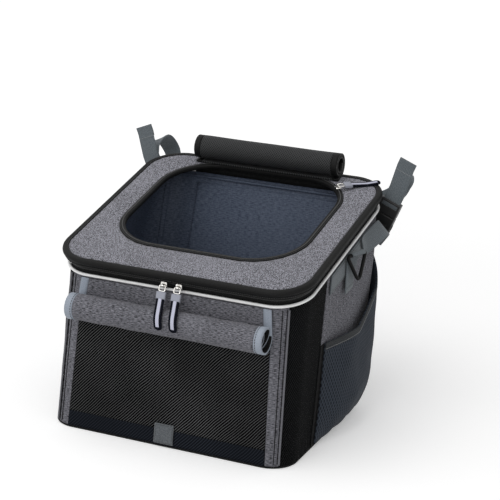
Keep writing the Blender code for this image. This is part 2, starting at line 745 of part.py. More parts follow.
def slider_body(name, place, stem_length):
    """Plate, eye and stem in one casting. Local X is the zip's direction and Y away from the tape."""
    half = SLIDER_LENGTH / 2
    points = [
        (0, -SLIDER_HEIGHT / 2), (SLIDER_PLATE, -SLIDER_HEIGHT / 2), (SLIDER_PLATE, SLIDER_HEIGHT / 2),
        (0, SLIDER_HEIGHT / 2),
    ]
    section = [[Vector((x, y, z)) for y, z in points] for x in (-half, half)]
    body = loft(name, section, SILVER)
    body.matrix_world = place
    eye = box(
        name + "_eye", (-EYE_LENGTH / 2, SLIDER_PLATE / 2, -EYE_HEIGHT / 2),
        (EYE_LENGTH / 2, SLIDER_PLATE + EYE_OUT, EYE_HEIGHT / 2), place, SILVER, collection=CUTTERS,
    )
    stem = box(
        name + "_stem", (-EYE_LENGTH / 2, -stem_length, -SLIDER_STEM / 2),
        (EYE_LENGTH / 2, SLIDER_PLATE / 2, SLIDER_STEM / 2), place, SILVER, collection=CUTTERS,
    )
    bore = cutter_box(
        name + "_bore", (-EYE_LENGTH, SLIDER_PLATE + (EYE_OUT - EYE_BORE) / 2, -EYE_BORE / 2),
        (EYE_LENGTH, SLIDER_PLATE + (EYE_OUT + EYE_BORE) / 2, EYE_BORE / 2), place,
    )
    for helper in (eye, stem):
        helper.hide_render = True
        helper.display_type = "WIRE"
        joined = body.modifiers.new("join", "BOOLEAN")
        joined.operation = "UNION"
        joined.object = helper
    cut(body, bore)
    return body


def pull_set(name, place, route):
    """Ring, and pull with its sleeve and tongue. Route gives the point at a distance from the eye."""
    eye = route(0)
    across = (place.to_3x3() @ Vector((1, 0, 0))).normalized()
    hang = (route(RING_DROP) - eye).normalized()
    half = across * RING_WIDTH / 2
    nick = across * RING_CORNER
    fall = hang * RING_DROP
    soft = hang * RING_CORNER
    corners = [
        eye - half + nick, eye + half - nick, eye + half + soft, eye + half + fall - soft,
        eye + half + fall - nick, eye - half + fall + nick, eye - half + fall - soft, eye - half + soft,
    ]
    ring_obj = tube(name + "_ring", corners, RING_WIRE, SILVER, closed=True)
    ring_obj.data.bevel_resolution = 1
    start = RING_DROP + RING_WIRE + GAP
    path = []
    widths = []
    thicks = []
    rows = [(0, SLEEVE_WIDTH, SLEEVE_THICK), (SLEEVE_HEIGHT - GAP, SLEEVE_WIDTH, SLEEVE_THICK)]
    for share in TONGUE_SHARES:
        width = TONGUE_WIDTH if share < 1 else TONGUE_WIDTH - 2 * TONGUE_THICK
        rows.append((SLEEVE_HEIGHT + TONGUE_LENGTH * share, width, TONGUE_THICK))
    for distance, width, thick in rows:
        path.append(route(start + distance))
        widths.append(across * width / 2)
        thicks.append(thick)
    return eye, [ring_obj, ribbon(name + "_pull", path, widths, thicks, WEBBING_GREY)]


def eye_of(place):
    return place @ Vector((0, SLIDER_PLATE + EYE_OUT / 2, 0))


def over_the_roll(eye, lean):
    """A pull's route: straight to the flap's roll and then round its front."""
    centre = flap_roll_seat()[1]
    reach = FLAP_RADIUS + FLAP_SHEET / 2 + SOFT_GAP + TONGUE_THICK / 2
    away = Vector((centre.y - eye.y, centre.z - eye.z))
    straight = math.sqrt(away.length_squared - reach**2)
    angle = math.atan2(away.y, away.x) - math.atan2(reach, straight)
    touch = angle - math.pi / 2

    def route(distance):
        if distance < straight:
            y, z = distance * math.cos(angle), distance * math.sin(angle)
        else:
            turn = touch + (distance - straight) / reach
            y, z = away.x + reach * math.cos(turn), away.y + reach * math.sin(turn)
        return eye + Vector((lean * distance, y, z))

    return route


def front_zips():
    for name, side in SIDES.items():
        x = FRONT_SLIDER_SHIFT + side * FRONT_SLIDER_SPACING / 2
        seat = rim_point(x, -FRONT_SLIDER_GROW, FRONT_SLIDER_RISE)
        place = frame_at(seat, Vector((1, 0, 0)), Vector((0, -1, 0)))
        body = slider_body("zip_slider_" + name, place, STEM_LENGTH)
        eye, pieces = pull_set("zip_" + name, place, over_the_roll(eye_of(place), PULL_LEAN))
        runner = pivot("zip_slider_travel_" + name, seat)
        swing = pivot("zip_pull_swing_" + name, eye)
        carry(swing, pieces)
        carry(runner, [body, swing])


def top_zip():
    """The mesh door's slider, parked at the opening's rear right corner with its pull lying on the panel."""
    centre = (HOLE_WIDTH / 2 - HOLE_RADIUS, HOLE_REAR - HOLE_RADIUS)
    reach = HOLE_RADIUS + TOP_SLIDER_GROW
    over = Vector((math.cos(TOP_SLIDER_ANGLE), math.sin(TOP_SLIDER_ANGLE)))
    rise = LID_TOP_RISE + BINDING_PROUD + GAP + TOP_STEM_LENGTH
    seat = rim_point(centre[0] + reach * over.x, centre[1] + reach * over.y, rise)
    outward = rim_point(over.x, over.y) - rim_point(0, 0)
    up = rim_point(0, 0, 1) - rim_point(0, 0)
    place = frame_at(seat, outward.cross(up), up)
    body = slider_body("top_zip_slider", place, TOP_STEM_LENGTH)
    eye = eye_of(place)
    fall = (rise + SLIDER_PLATE + EYE_OUT / 2 - LID_TOP_RISE - SOFT_GAP - TONGUE_THICK / 2) / TONGUE_LENGTH

    def route(distance):
        sunk = max(min(distance, TONGUE_LENGTH), 0)
        return eye + outward * distance - up * fall * sunk

    eye, pieces = pull_set("top_zip", place, route)
    swing = pivot("top_zip_pull_swing", eye)
    carry(swing, pieces)
    runner = pivot("top_zip_travel", rim_point(*centre, rise))
    carry(runner, [body, swing])
    return runner


# Side webbing: a band along the rim, a tab with a ring for a carrying strap

BAND_DROP = 9 * MM
BAND_START = 2.28
BAND_END = 2.8
RING_TAB_PLACE = 2.555
RING_TAB_STEP = 0.05
RING_TAB_FOOT = 57 * MM
RING_TAB_HEAD = 8 * MM
RING_TAB_YAW = math.radians(20)
D_RING_WIRE = 2.1 * MM
D_RING_WIDTH = 33 * MM
D_RING_HEIGHT = 34 * MM
D_RING_POINT = 7 * MM
D_RING_STAND = 5.2 * MM
D_RING_TILT = math.radians(6)
TAB_STEPS = 8
TAB_CLEAR_SHARE = 0.8


def side_band(name, side):
    def head(place):
        return 1 - BAND_DROP / wall_height(place)

    def foot(place):
        return 1 - (BAND_DROP + WEB_WIDTH) / wall_height(place)

    wall_panel(
        "side_band_" + name, *sided(BAND_START, BAND_END, side), foot, head,
        SOFT_GAP, SOFT_GAP + WEB_THICK, WEBBING_GREY, rows=2,
    )


def ring_tab(name, side):
    """Webbing sewn over the band, looped round the bar of a plastic D-ring that hangs in front of it."""
    place = RING_TAB_PLACE if side > 0 else WHOLE_TURN - RING_TAB_PLACE
    height = wall_height(place)
    lying = 2 * SOFT_GAP + WEB_THICK * 1.5
    shares = [1 - (RING_TAB_FOOT + (RING_TAB_HEAD - RING_TAB_FOOT) * k / 3) / height for k in range(4)]
    path = [wall_point(place, share, lying) for share in shares]
    step = side * RING_TAB_STEP
    wall_way = (wall_point(place + step, shares[0]) - wall_point(place - step, shares[0])).normalized()
    bar_way = Vector((side * math.sin(RING_TAB_YAW), math.cos(RING_TAB_YAW), 0))
    out = Vector((side, 0, 0))
    up = (path[-1] - path[0]).normalized()
    loop = D_RING_WIRE + SOFT_GAP + WEB_THICK / 2
    centre = path[-1] + out * (loop + D_RING_STAND)
    path[-1] = path[-1] - up * loop
    turns = (0, 0.2, 0.5, 0.8)
    ways = [wall_way.lerp(bar_way, share).normalized() for share in turns]
    yawed = math.sin(RING_TAB_YAW) * WEB_WIDTH / 2
    path = [point + out * (share * yawed + GAP) for point, share in zip(path, turns)]
    for k in range(TAB_STEPS + 1):
        angle = math.pi * (TAB_CLEAR_SHARE + 0.5) * k / TAB_STEPS - math.pi * 0.25
        path.append(centre - out * math.cos(angle) * loop + up * math.sin(angle) * loop)
        ways.append(bar_way)
    ribbon("d_ring_tab_" + name, path, [way * WEB_WIDTH / 2 for way in ways], WEB_THICK, WEBBING_GREY)
    bar = bar_way * D_RING_WIDTH / 2
    point = Vector((side * math.sin(D_RING_TILT), 0, -math.cos(D_RING_TILT))) * D_RING_HEIGHT
    tip = bar_way * D_RING_POINT / 2
    shoulder = Vector((0, 0, -D_RING_POINT))
    corners = [
        centre - bar, centre + bar, centre + bar + shoulder / 2,
        centre + tip + point - shoulder / 2, centre + point, centre - tip + point - shoulder / 2,
        centre - bar + shoulder / 2,
    ]
    ring_obj = tube("d_ring_" + name, corners, D_RING_WIRE, BLACK_PLASTIC, closed=True)
    swing = pivot("d_ring_swing_" + name, centre)
    carry(swing, [ring_obj])


# Handlebar straps: each comes up from the side band through a side-release buckle, loops over the
# handlebar and is sewn to the back panel. Its free end stands up from the buckle

BUCKLE_WIDTH = 30 * MM
BUCKLE_THICK = 10 * MM
FEMALE_LENGTH = 33 * MM
MALE_LENGTH = 22 * MM
PRONG_LENGTH = 17 * MM
PRONG_WIDTH = 6 * MM
PRONG_THICK = 1.8 * MM
PRONG_ROOT = 2 * MM
CAVITY_WALL = 1.5 * MM
CAVITY_SIDE = 1.6 * MM
SLOT_CLEAR = 0.4 * MM
STRAP_FORWARD = 1.2 * MM
BUCKLE_INSET = 5.1 * MM
BUCKLE_FOOT_IN = 8.3 * MM
BUCKLE_HEAD_OUT = 12.2 * MM
BUCKLE_FOOT_DROP = 51.9 * MM
BUCKLE_HEAD_DROP = 1.7 * MM
BUCKLE_EDGE = 1.2 * MM
WINDOW_LENGTH = 12 * MM
WINDOW_PLACE = 9 * MM
STRAP_LAYERS = 4.8 * MM
BUCKLE_TRAVEL = 17 * MM
TAIL_LENGTH = 84 * MM
TAIL_DRIFT = 4 * MM
TAIL_DRIFT_START_SHARE = 0.48
TAIL_DRIFT_SPAN_SHARE = 0.4
TAIL_SHARES = (0, 0.48, 0.6, 0.8, 1)
BAR_OUT = 17 * MM
BAR_BEHIND = 26.9 * MM
BAR_RISE = 16.1 * MM
BAR_RADIUS = 18 * MM
ANCHOR_START_IN = 49 * MM
ANCHOR_END_IN = 69 * MM
ANCHOR_START_SHARE = 0.92
ANCHOR_END_SHARE = 0.85
LOWER_STRAP_LEAD = 0.05
LOWER_STRAP_CORNER = 3.1
LOWER_STRAP_OUT = 11.5 * MM
LOWER_STRAP_DIP = 10 * MM
STRAP_STEPS = 4
TWIST_SHARE = 0.8


def from_rear_corner(side, out, behind, rise):
    """A point measured from the top of the rim's rear edge, level with the body's side."""
    return Vector((side * (BODY_WIDTH / 2 + out), RIM_REAR_Y + behind, RIM_REAR_Z + rise))


def buckle(name, side):
    """Local X is the strap's width, Y its face and Z along it, away from the basket."""
    foot = from_rear_corner(side, -BUCKLE_FOOT_IN, -BUCKLE_INSET, -BUCKLE_FOOT_DROP)
    head = from_rear_corner(side, BUCKLE_HEAD_OUT, -BUCKLE_INSET, -BUCKLE_HEAD_DROP)
    up = (head - foot).normalized()
    across = up.cross(Vector((0, -1, 0))).normalized()
    place = frame_at(foot, across, Vector((0, -1, 0)))
    if (place.to_3x3() @ Vector((0, 0, 1))).dot(up) < 0:
        place = frame_at(foot, -across, Vector((0, -1, 0)))
    half = BUCKLE_WIDTH / 2
    deep = BUCKLE_THICK / 2
    female = box(
        "buckle_female_" + name, (-half, -deep, 0), (half, deep, FEMALE_LENGTH), place, BLACK_PLASTIC,
        bevel=BUCKLE_EDGE,
    )
    inner = half - CAVITY_SIDE
    cut(female, cutter_box(
        "buckle_cavity_" + name, (-inner, -deep + CAVITY_WALL, FEMALE_LENGTH - PRONG_LENGTH - CAVITY_WALL),
        (inner, deep - CAVITY_WALL, FEMALE_LENGTH + CAVITY_WALL), place,
    ))
    cut(female, cutter_box(
        "buckle_windows_" + name,
        (-half - CAVITY_WALL, -deep + CAVITY_WALL, FEMALE_LENGTH - WINDOW_PLACE - WINDOW_LENGTH),
        (half + CAVITY_WALL, deep - CAVITY_WALL, FEMALE_LENGTH - WINDOW_PLACE), place,
    ))
    low = FEMALE_LENGTH + GAP
    male = box(
        "buckle_male_" + name, (-half, -deep, low), (half, deep, low + MALE_LENGTH), place, BLACK_PLASTIC,
        bevel=BUCKLE_EDGE,
    )
    slot = (WEB_WIDTH / 2 + SLOT_CLEAR, STRAP_LAYERS / 2)
    cut(male, cutter_box(
        "buckle_slot_" + name, (-slot[0], STRAP_FORWARD - slot[1], low - GAP),
        (slot[0], STRAP_FORWARD + slot[1], low + MALE_LENGTH + GAP), place,
    ))
    prong_back = CAVITY_WALL + GAP - deep
    for end in (-1, 1):
        edges = sorted((end * (inner - GAP), end * (inner - GAP - PRONG_WIDTH)))
        prong = box(
            "buckle_prong_%s_%s" % (name, "inner" if end < 0 else "outer"),
            (edges[0], prong_back, low - PRONG_LENGTH),
            (edges[1], prong_back + PRONG_THICK, low + PRONG_ROOT),
            place, BLACK_PLASTIC, collection=CUTTERS,
        )
        prong.hide_render = True
        prong.display_type = "WIRE"
        joined = male.modifiers.new("join", "BOOLEAN")
        joined.operation = "UNION"
        joined.object = prong
    travel = pivot("buckle_travel_" + name, place @ Vector((0, 0, low)))
    carry(travel, [male])
    return place, low


def twisted(name, path, first, last, finish, straight=0):
    """Webbing whose width turns evenly from one direction to another, after some straight spans."""
    halves = []
    for k, middle in enumerate(path):
        along = (path[min(k + 1, len(path) - 1)] - path[max(k - 1, 0)]).normalized()
        share = max(k - straight, 0) / (len(path) - 1 - straight)
        way = first.lerp(last, min(share / TWIST_SHARE, 1))
        halves.append((way - along * way.dot(along)).normalized() * WEB_WIDTH / 2)
    return ribbon(name, path, halves, WEB_THICK, finish)


def back_point(x, height, out):
    """A point beside the flat of the back panel."""
    point = wall_point(WHOLE_TURN / 2, height, out)
    return Vector((x, point.y, point.z))


# The loop's bends, in radii of the handlebar: leaning back above the buckle, round the bar's rear
# as sideways inwards, back and up, and sagging on its way to the back panel
LEAN_UP = 0.65
LEAN_BACK = 0.8
BEHIND_BAR = ((0.3, 0.95, 0), (0.8, 0.65, -1))
SLACK_BACK = 0.2
SLACK_DROP = 0.45
STRAIGHT_PART = 0.9


def handlebar_strap(name, side):
    place, low = buckle(name, side)
    turn = place.to_3x3()
    across = (turn @ Vector((1, 0, 0))) * side * (1 if (turn @ Vector((1, 0, 0))).x > 0 else -1)
    face = turn @ Vector((0, 1, 0))
    up = turn @ Vector((0, 0, 1))
    start = place @ Vector((0, STRAP_FORWARD, low + SOFT_GAP))
    layer = face * (WEB_THICK + SOFT_GAP) / 2
    sideways = Vector((side, 0, 0))
    tail = []
    for share in TAIL_SHARES:
        drift = TAIL_DRIFT * min(max(share - TAIL_DRIFT_START_SHARE, 0) / TAIL_DRIFT_SPAN_SHARE, 1)
        tail.append(start + layer + up * TAIL_LENGTH * share - sideways * drift)
    ribbon("strap_tail_" + name, tail, [across * WEB_WIDTH / 2] * len(tail), WEB_THICK, WEBBING_GREY)

    bar = from_rear_corner(side, BAR_OUT, BAR_BEHIND, BAR_RISE)
    lying = 2 * SOFT_GAP + WEB_THICK / 2
    sewn = back_point(side * (BODY_WIDTH / 2 - ANCHOR_START_IN), ANCHOR_START_SHARE, lying)
    end = back_point(side * (BODY_WIDTH / 2 - ANCHOR_END_IN), ANCHOR_END_SHARE, lying)
    straight = MALE_LENGTH + BUCKLE_TRAVEL
    knots = [
        start - layer + up * straight,
        start - layer + up * (straight + BAR_RADIUS * LEAN_UP) + Vector((0, BAR_RADIUS * LEAN_BACK, 0)),
        bar + Vector((0, 0, BAR_RADIUS)),
        *(bar + Vector((-side * x, y, z)) * BAR_RADIUS for x, y, z in BEHIND_BAR),
        sewn.lerp(bar, 0.5) + Vector((0, BAR_RADIUS * SLACK_BACK, -BAR_RADIUS * SLACK_DROP)),
        sewn, end,
    ]
    slope = (end - sewn).normalized()
    back_middle = WHOLE_TURN / 2
    flat = slope.cross(wall_point(back_middle, 1) - wall_point(back_middle, 0)).normalized()
    across_back = slope.cross(flat).normalized()
    across_back = across_back if across_back.dot(across) > 0 else -across_back
    rising = start - layer + up * straight * STRAIGHT_PART
    path = [start - layer, rising, *smooth_path(knots, STRAP_STEPS)]
    twisted("strap_loop_" + name, path, across, across_back, WEBBING_GREY, straight=STRAP_STEPS + 2)

    places = [BAND_END - LOWER_STRAP_LEAD, BAND_END]
    places = places if side > 0 else [WHOLE_TURN - place for place in places]
    shares = [1 - (BAND_DROP + WEB_WIDTH / 2) / wall_height(place) for place in places]
    lying = 4 * SOFT_GAP + 1.5 * WEB_THICK
    sewn = wall_point(places[0], shares[0], lying)
    ahead = wall_point(places[1], shares[1], lying + GAP)
    corner = LOWER_STRAP_CORNER if side > 0 else WHOLE_TURN - LOWER_STRAP_CORNER
    free = wall_point(corner, shares[1], LOWER_STRAP_OUT)
    foot = place @ Vector((0, 0, -SOFT_GAP))
    path = [sewn, *smooth_path([ahead, free, foot - up * LOWER_STRAP_DIP], STRAP_STEPS), foot]
    top = wall_point(places[0], 1 - BAND_DROP / wall_height(places[0]), lying)
    last = across if across.x * side > 0 else -across
    twisted("buckle_strap_" + name, path, (sewn - top).normalized(), last, WEBBING_GREY)


def build():
    base()
    front_walls()
    back_wall()
    for name, side in SIDES.items():
        side_walls(name, side)
        side_pocket(name, side)
        side_band(name, side)
        ring_tab(name, side)
        handlebar_strap(name, side)
    rim()
    lid_pieces = lid() + mesh_roll()
    lid_pieces.append(top_zip())
    hinge = pivot("lid_hinge_axis", rim_point(0, RIM_DEPTH + LID_OVERHANG, HINGE_RISE))
    carry(hinge, lid_pieces)
    front_flap()
    closing_tab()
    front_zips()


clear_scene()
PARTS = new_collection("dog_bicycle_basket")
CUTTERS = new_collection("cutters", hidden=True)
build()
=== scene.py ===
"""A soft-sided pet basket with a hinged lid and two hanging straps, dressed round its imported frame."""

import math

import bmesh
import bpy
import numpy as np
from mathutils import Matrix, Vector


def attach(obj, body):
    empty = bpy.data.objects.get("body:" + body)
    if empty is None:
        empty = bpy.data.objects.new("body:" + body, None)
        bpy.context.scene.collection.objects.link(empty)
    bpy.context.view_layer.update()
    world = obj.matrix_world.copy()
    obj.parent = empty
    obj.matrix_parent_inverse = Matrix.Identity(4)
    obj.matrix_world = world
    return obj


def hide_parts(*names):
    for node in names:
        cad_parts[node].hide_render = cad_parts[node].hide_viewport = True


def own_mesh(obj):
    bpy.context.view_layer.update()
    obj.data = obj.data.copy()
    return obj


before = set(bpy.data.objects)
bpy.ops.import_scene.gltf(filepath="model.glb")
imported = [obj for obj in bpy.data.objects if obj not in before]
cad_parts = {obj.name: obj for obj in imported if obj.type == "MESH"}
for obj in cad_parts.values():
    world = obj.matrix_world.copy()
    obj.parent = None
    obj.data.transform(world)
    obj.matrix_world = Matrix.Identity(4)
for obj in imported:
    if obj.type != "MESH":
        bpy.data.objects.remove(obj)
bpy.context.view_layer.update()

# View and studio: a long lens looks down on the basket from the front and its right side, over a
# pale matt floor. A broad soft lamp hangs above and a weaker one fills from the front.

MM = 0.001
VIEW_POINT = np.array((875.1, -1891.3, 885.4)) * MM
VIEW_TURN = math.radians(23.4)
VIEW_DROP = math.radians(17.4)
VIEW_ROLL = math.radians(1.8)
LENS = 119.22
SENSOR = 36

right = np.array((math.cos(VIEW_TURN), math.sin(VIEW_TURN), 0))
ahead = np.array((
    -math.sin(VIEW_TURN) * math.cos(VIEW_DROP),
    math.cos(VIEW_TURN) * math.cos(VIEW_DROP),
    -math.sin(VIEW_DROP),
))
upward = np.cross(right, ahead)
rolled_right = math.cos(VIEW_ROLL) * right + math.sin(VIEW_ROLL) * upward
rolled_up = math.cos(VIEW_ROLL) * upward - math.sin(VIEW_ROLL) * right
lens = bpy.data.cameras.new("view")
lens.lens = LENS
lens.sensor_width = SENSOR
camera = bpy.data.objects.new("view", lens)
turn = Matrix((rolled_right, rolled_up, -ahead)).transposed().to_4x4()
camera.matrix_world = Matrix.Translation(VIEW_POINT) @ turn
bpy.context.collection.objects.link(camera)
bpy.context.scene.camera = camera


class Wire:
    """A socket in a material's tree. Arithmetic on it adds Math nodes."""

    def __init__(self, tree, socket):
        self.tree = tree
        self.socket = socket

    def node(self, kind, settings, inputs, output=0):
        """Adds a node: its settings first, then its inputs by name or number, as values or wires."""
        made = self.tree.nodes.new("ShaderNode" + kind)
        for key, value in settings.items():
            setattr(made, key, value)
        for key, value in inputs.items():
            if isinstance(value, Wire):
                self.tree.links.new(value.socket, made.inputs[key])
            else:
                made.inputs[key].default_value = value
        return Wire(self.tree, made.outputs[output])

    def beside(self, output):
        """Another output of the same node."""
        return Wire(self.tree, self.socket.node.outputs[output])

    def place(self, space="Object"):
        return self.node("TexCoord", {}, {}, space)

    def noise(self, scale, space="Object", **more):
        """Noise between 0 and 1, in object, UV or generated coordinates."""
        return self.node("TexNoise", {}, {"Vector": self.place(space), "Scale": scale, **more}, "Fac")

    def flat(self):
        """The x and the y of UV coordinates."""
        x = self.node("SeparateXYZ", {}, {"Vector": self.place("UV")}, "X")
        return x, x.beside("Y")

    def math(self, operation, *values):
        return self.node("Math", {"operation": operation}, dict(enumerate(values)))

    def __add__(self, other):
        return self.math("ADD", self, other)

    __radd__ = __add__

    def __mul__(self, other):
        return self.math("MULTIPLY", self, other)

    __rmul__ = __mul__

    def __sub__(self, other):
        return self.math("SUBTRACT", self, other)

    def __rsub__(self, other):
        return self.math("SUBTRACT", other, self)

    def __truediv__(self, other):
        return self.math("DIVIDE", self, other)

    def clamp(self):
        return self.node("Clamp", {}, {"Value": self})

    def step(self, low, high):
        """0 below low, 1 above high, with a soft change between."""
        limits = {"From Min": low, "From Max": high}
        return self.node("MapRange", {"interpolation_type": "SMOOTHSTEP"}, {"Value": self, **limits})

    def wave(self):
        """Cosine of a whole turn for each unit, from 0 at whole numbers to 1 half way between."""
        return (1 - self.math("COSINE", self * (2 * math.pi))) * 0.5

    def mix(self, first, second):
        """A colour from first to second by this wire."""
        settings = {"data_type": "RGBA"}
        return self.node("Mix", settings, {0: self, 6: first, 7: second}, 2)


def finish(name, roughness, metallic=0, **constant):
    """A material, with a wire of its tree to build on and its shader's sockets."""
    material = bpy.data.materials.new(name)
    material.use_nodes = True
    tree = material.node_tree
    shader = tree.nodes["Principled BSDF"]
    shader.inputs["Roughness"].default_value = roughness
    shader.inputs["Metallic"].default_value = metallic
    for key, value in constant.items():
        shader.inputs[key.replace("_", " ")].default_value = value
    return material, Wire(tree, shader.inputs["Base Color"]), shader.inputs


def join(wire, socket):
    wire.tree.links.new(wire.socket, socket)


def relief(height, distance, sockets):
    """Bump from a height of 0 to 1 over a distance in metres."""
    bump = {"Strength": 1, "Distance": distance, "Height": height}
    join(height.node("Bump", {}, bump), sockets["Normal"])


def speckled(name, roughness, scale, dark, light, bump=0, limits=None, gloss=None, noise=None, **constant):
    """A finish mottled by fine noise, from dark to light as the noise rises.

    limits narrows that change to a part of the noise, gloss is the roughness as a slope and a start.
    """
    material, wire, sockets = finish(name, roughness, **constant)
    grain = wire.noise(scale, **(noise or {}))
    join((grain.step(*limits) if limits else grain).mix(dark, light), sockets["Base Color"])
    if gloss:
        join(grain * gloss[0] + gloss[1], sockets["Roughness"])
    if bump:
        relief(grain, bump, sockets)
    return material


def grey(value, blue=0):
    return (value, value + blue / 2, value + blue, 1)


def marl(value):
    """The yarn's grey: slightly violet, at any lightness."""
    return (value, value, value * 1.13, 1)


def seen(tree):
    """1 for a ray from the camera, straight or by way of a mirror or glass."""
    rays = tree.node("LightPath", {}, {}, "Is Camera Ray")
    return (rays + rays.beside("Is Glossy Ray") + rays.beside("Is Transmission Ray")).clamp()


FLOOR_HALF = 14
FLOOR_GREY = 0.86
FLOOR_SEEN = 1.0
FLOOR_LIFT = 0.27
FLOOR_FAR_LIFT = 0.52
FLOOR_FAR = (0.25, 2.2)
SQUARE = ((-1, -1), (1, -1), (1, 1), (-1, 1))
floor_mesh = bpy.data.meshes.new("studio_floor")
floor_mesh.from_pydata([(x * FLOOR_HALF, y * FLOOR_HALF, 0) for x, y in SQUARE], [], [(0, 1, 2, 3)])
floor = bpy.data.objects.new("studio_floor", floor_mesh)
bpy.context.collection.objects.link(floor)
floor_paint, wire, sockets = finish("floor_paint", 0.9, Specular_IOR_Level=0, Emission_Strength=1)
join(seen(wire).mix(grey(FLOOR_GREY), grey(FLOOR_SEEN)), sockets["Base Color"])
away = wire.node("VectorMath", {"operation": "LENGTH"}, {0: wire.place()}, "Value").step(*FLOOR_FAR)
lift = away.mix(grey(FLOOR_LIFT), grey(FLOOR_FAR_LIFT))
join(seen(wire).mix(grey(0), lift), sockets["Emission Color"])
floor_mesh.materials.append(floor_paint)

LAMPS = (("overhead_lamp", (-0.5, -0.6, 1.9), 1.6, 14), ("fill_lamp", (0.3, -2.1, 0.9), 1.2, 7))
LAMPS_AIM = Vector((0, 0.02, 0.15))
BACKDROP_STRENGTH = 0.5
BACKDROP_SEEN = 2
for name, place, size, power in LAMPS:
    lamp = bpy.data.lights.new(name, "AREA")
    lamp.shape = "SQUARE"
    lamp.size = size
    lamp.energy = power
    stand = bpy.data.objects.new(name, lamp)
    stand.location = place
    stand.rotation_euler = (LAMPS_AIM - Vector(place)).to_track_quat("-Z", "Y").to_euler()
    bpy.context.collection.objects.link(stand)
world = bpy.data.worlds.new("studio")
world.use_nodes = True
backdrop = world.node_tree.nodes["Background"]
backdrop.inputs["Strength"].default_value = BACKDROP_STRENGTH
tint = backdrop.inputs["Color"]
join(seen(Wire(world.node_tree, tint)).mix(grey(1), grey(BACKDROP_SEEN)), tint)
bpy.context.scene.world = world
bpy.context.scene.view_settings.view_transform = "Standard"


# Base: a woven bottom, turned up a little at its edge, over a stiff board, with a loose fleece mat
# on the board. The mat is padded and sewn down in three channels across.

BODY_WIDTH = 340 * MM
BASE_FLARE = 2 * MM
BASE_WIDTH = BODY_WIDTH + 2 * BASE_FLARE
BASE_DEPTH = 262 * MM
BASE_RADIUS = 36 * MM
BASE_SHELL = 3 * MM
SHELL = 3 * MM
GAP = 0.3 * MM
SOFT_GAP = 0.6 * MM
WHOLE_TURN = 10


def outline(place, width, depth, radius):
    """Point and outward direction on a rounded rectangle whose front edge lies at depth zero.

    Places count stretches from the middle of the front: 1 to 2 is the front corner, 2 to 3 the
    side, 3 to 4 the rear corner and 5 the middle of the back. Each stretch is a line or an arc.
    """
    turned = np.mod(place, WHOLE_TURN)
    side = np.where(turned <= WHOLE_TURN / 2, 1.0, -1.0)
    turned = np.minimum(turned, WHOLE_TURN - turned)
    stretch = np.minimum(turned.astype(int), 4)
    share = turned - stretch
    half = width / 2 - radius
    sine = np.sin(share * math.pi / 2)
    cosine = np.cos(share * math.pi / 2)
    none = np.zeros_like(share)
    x = np.choose(stretch, [
        half * share, half + radius * sine, none + half + radius,
        half + radius * cosine, half * (1 - share),
    ])
    y = np.choose(stretch, [
        none, radius * (1 - cosine), radius + (depth - 2 * radius) * share,
        depth - radius * (1 - sine), none + depth,
    ])
    out_x = np.choose(stretch, [none, sine, none + 1, cosine, none])
    out_y = np.choose(stretch, [none - 1, -cosine, none, sine, none + 1])
    return side * x, y, side * out_x, out_y


def surface(name, points, wrap_u=False, wrap_v=False, caps=False):
    """A grid of points, rows by columns, joined in quads that face along (columns x rows).

    wrap_u joins the last column to the first and wrap_v the last row to the first. caps closes the
    first and last row with a face each. The UV map holds the lengths along columns and rows.
    """
    rows, columns = points.shape[:2]
    row, column = np.indices((rows - (not wrap_v), columns - (not wrap_u)))
    corners = ((row, column), (row, column + 1), (row + 1, column + 1), (row + 1, column))
    quads = np.stack([(r % rows) * columns + c % columns for r, c in corners], -1).reshape(-1, 4)
    closed = np.concatenate([points, points[:, :1]], 1)
    closed = np.concatenate([closed, closed[:1]], 0)
    steps_u = np.linalg.norm(np.diff(closed, axis=1), axis=2)
    steps_v = np.linalg.norm(np.diff(closed, axis=0), axis=2)
    u = np.concatenate([np.zeros((rows + 1, 1)), np.cumsum(steps_u, 1)], 1)
    v = np.concatenate([np.zeros((1, columns + 1)), np.cumsum(steps_v, 0)], 0)
    faces = quads.tolist()
    loops = np.stack([np.stack([u[r, c], v[r, c]], -1) for r, c in corners], -2).reshape(-1, 2)
    if caps:
        faces.append(list(range(columns))[::-1])
        faces.append(list(range((rows - 1) * columns, rows * columns)))
        ends = np.concatenate([np.stack([u[0, :columns], v[0, :columns]], -1)] * 2)
        loops = np.concatenate([loops, ends])
    mesh = bpy.data.meshes.new(name)
    mesh.from_pydata(points.reshape(-1, 3).tolist(), [], faces)
    layer = mesh.uv_layers.new(name="UVMap")
    layer.data.foreach_set("uv", loops.astype(np.float32).ravel())
    mesh.shade_smooth()
    piece = bpy.data.objects.new(name, mesh)
    bpy.context.collection.objects.link(piece)
    return piece


def fit(piece, body, slot, material, *nodes):
    """Gives a piece its material, its body and the solids that it stands for."""
    piece.data.materials.append(material)
    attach(piece, body)
    if nodes:
        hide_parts(*nodes)
    return piece


def thicken(piece, thickness, offset=-1, lining=None):
    """Gives a sheet its thickness, behind its face, with a lining on its back."""
    wall = piece.modifiers.new("thickness", "SOLIDIFY")
    wall.thickness = thickness
    wall.offset = offset
    if lining:
        piece.data.materials.append(lining)
        wall.material_offset = 1
    return piece


def ripple(a, b, length, seed):
    """Smooth uneven swell between -1 and 1: the mean of four sines in directions set by the seed."""
    total = 0
    for k in range(4):
        angle = seed * 1.7 + k * 2.4
        pace = 2 * math.pi / length * (0.7 + 0.35 * k)
        total = total + np.sin(pace * (a * math.cos(angle) + b * math.sin(angle)) + seed * 3.1 + k * 1.3)
    return total / 4


WEAVE_DEPTH = 0.12 * MM


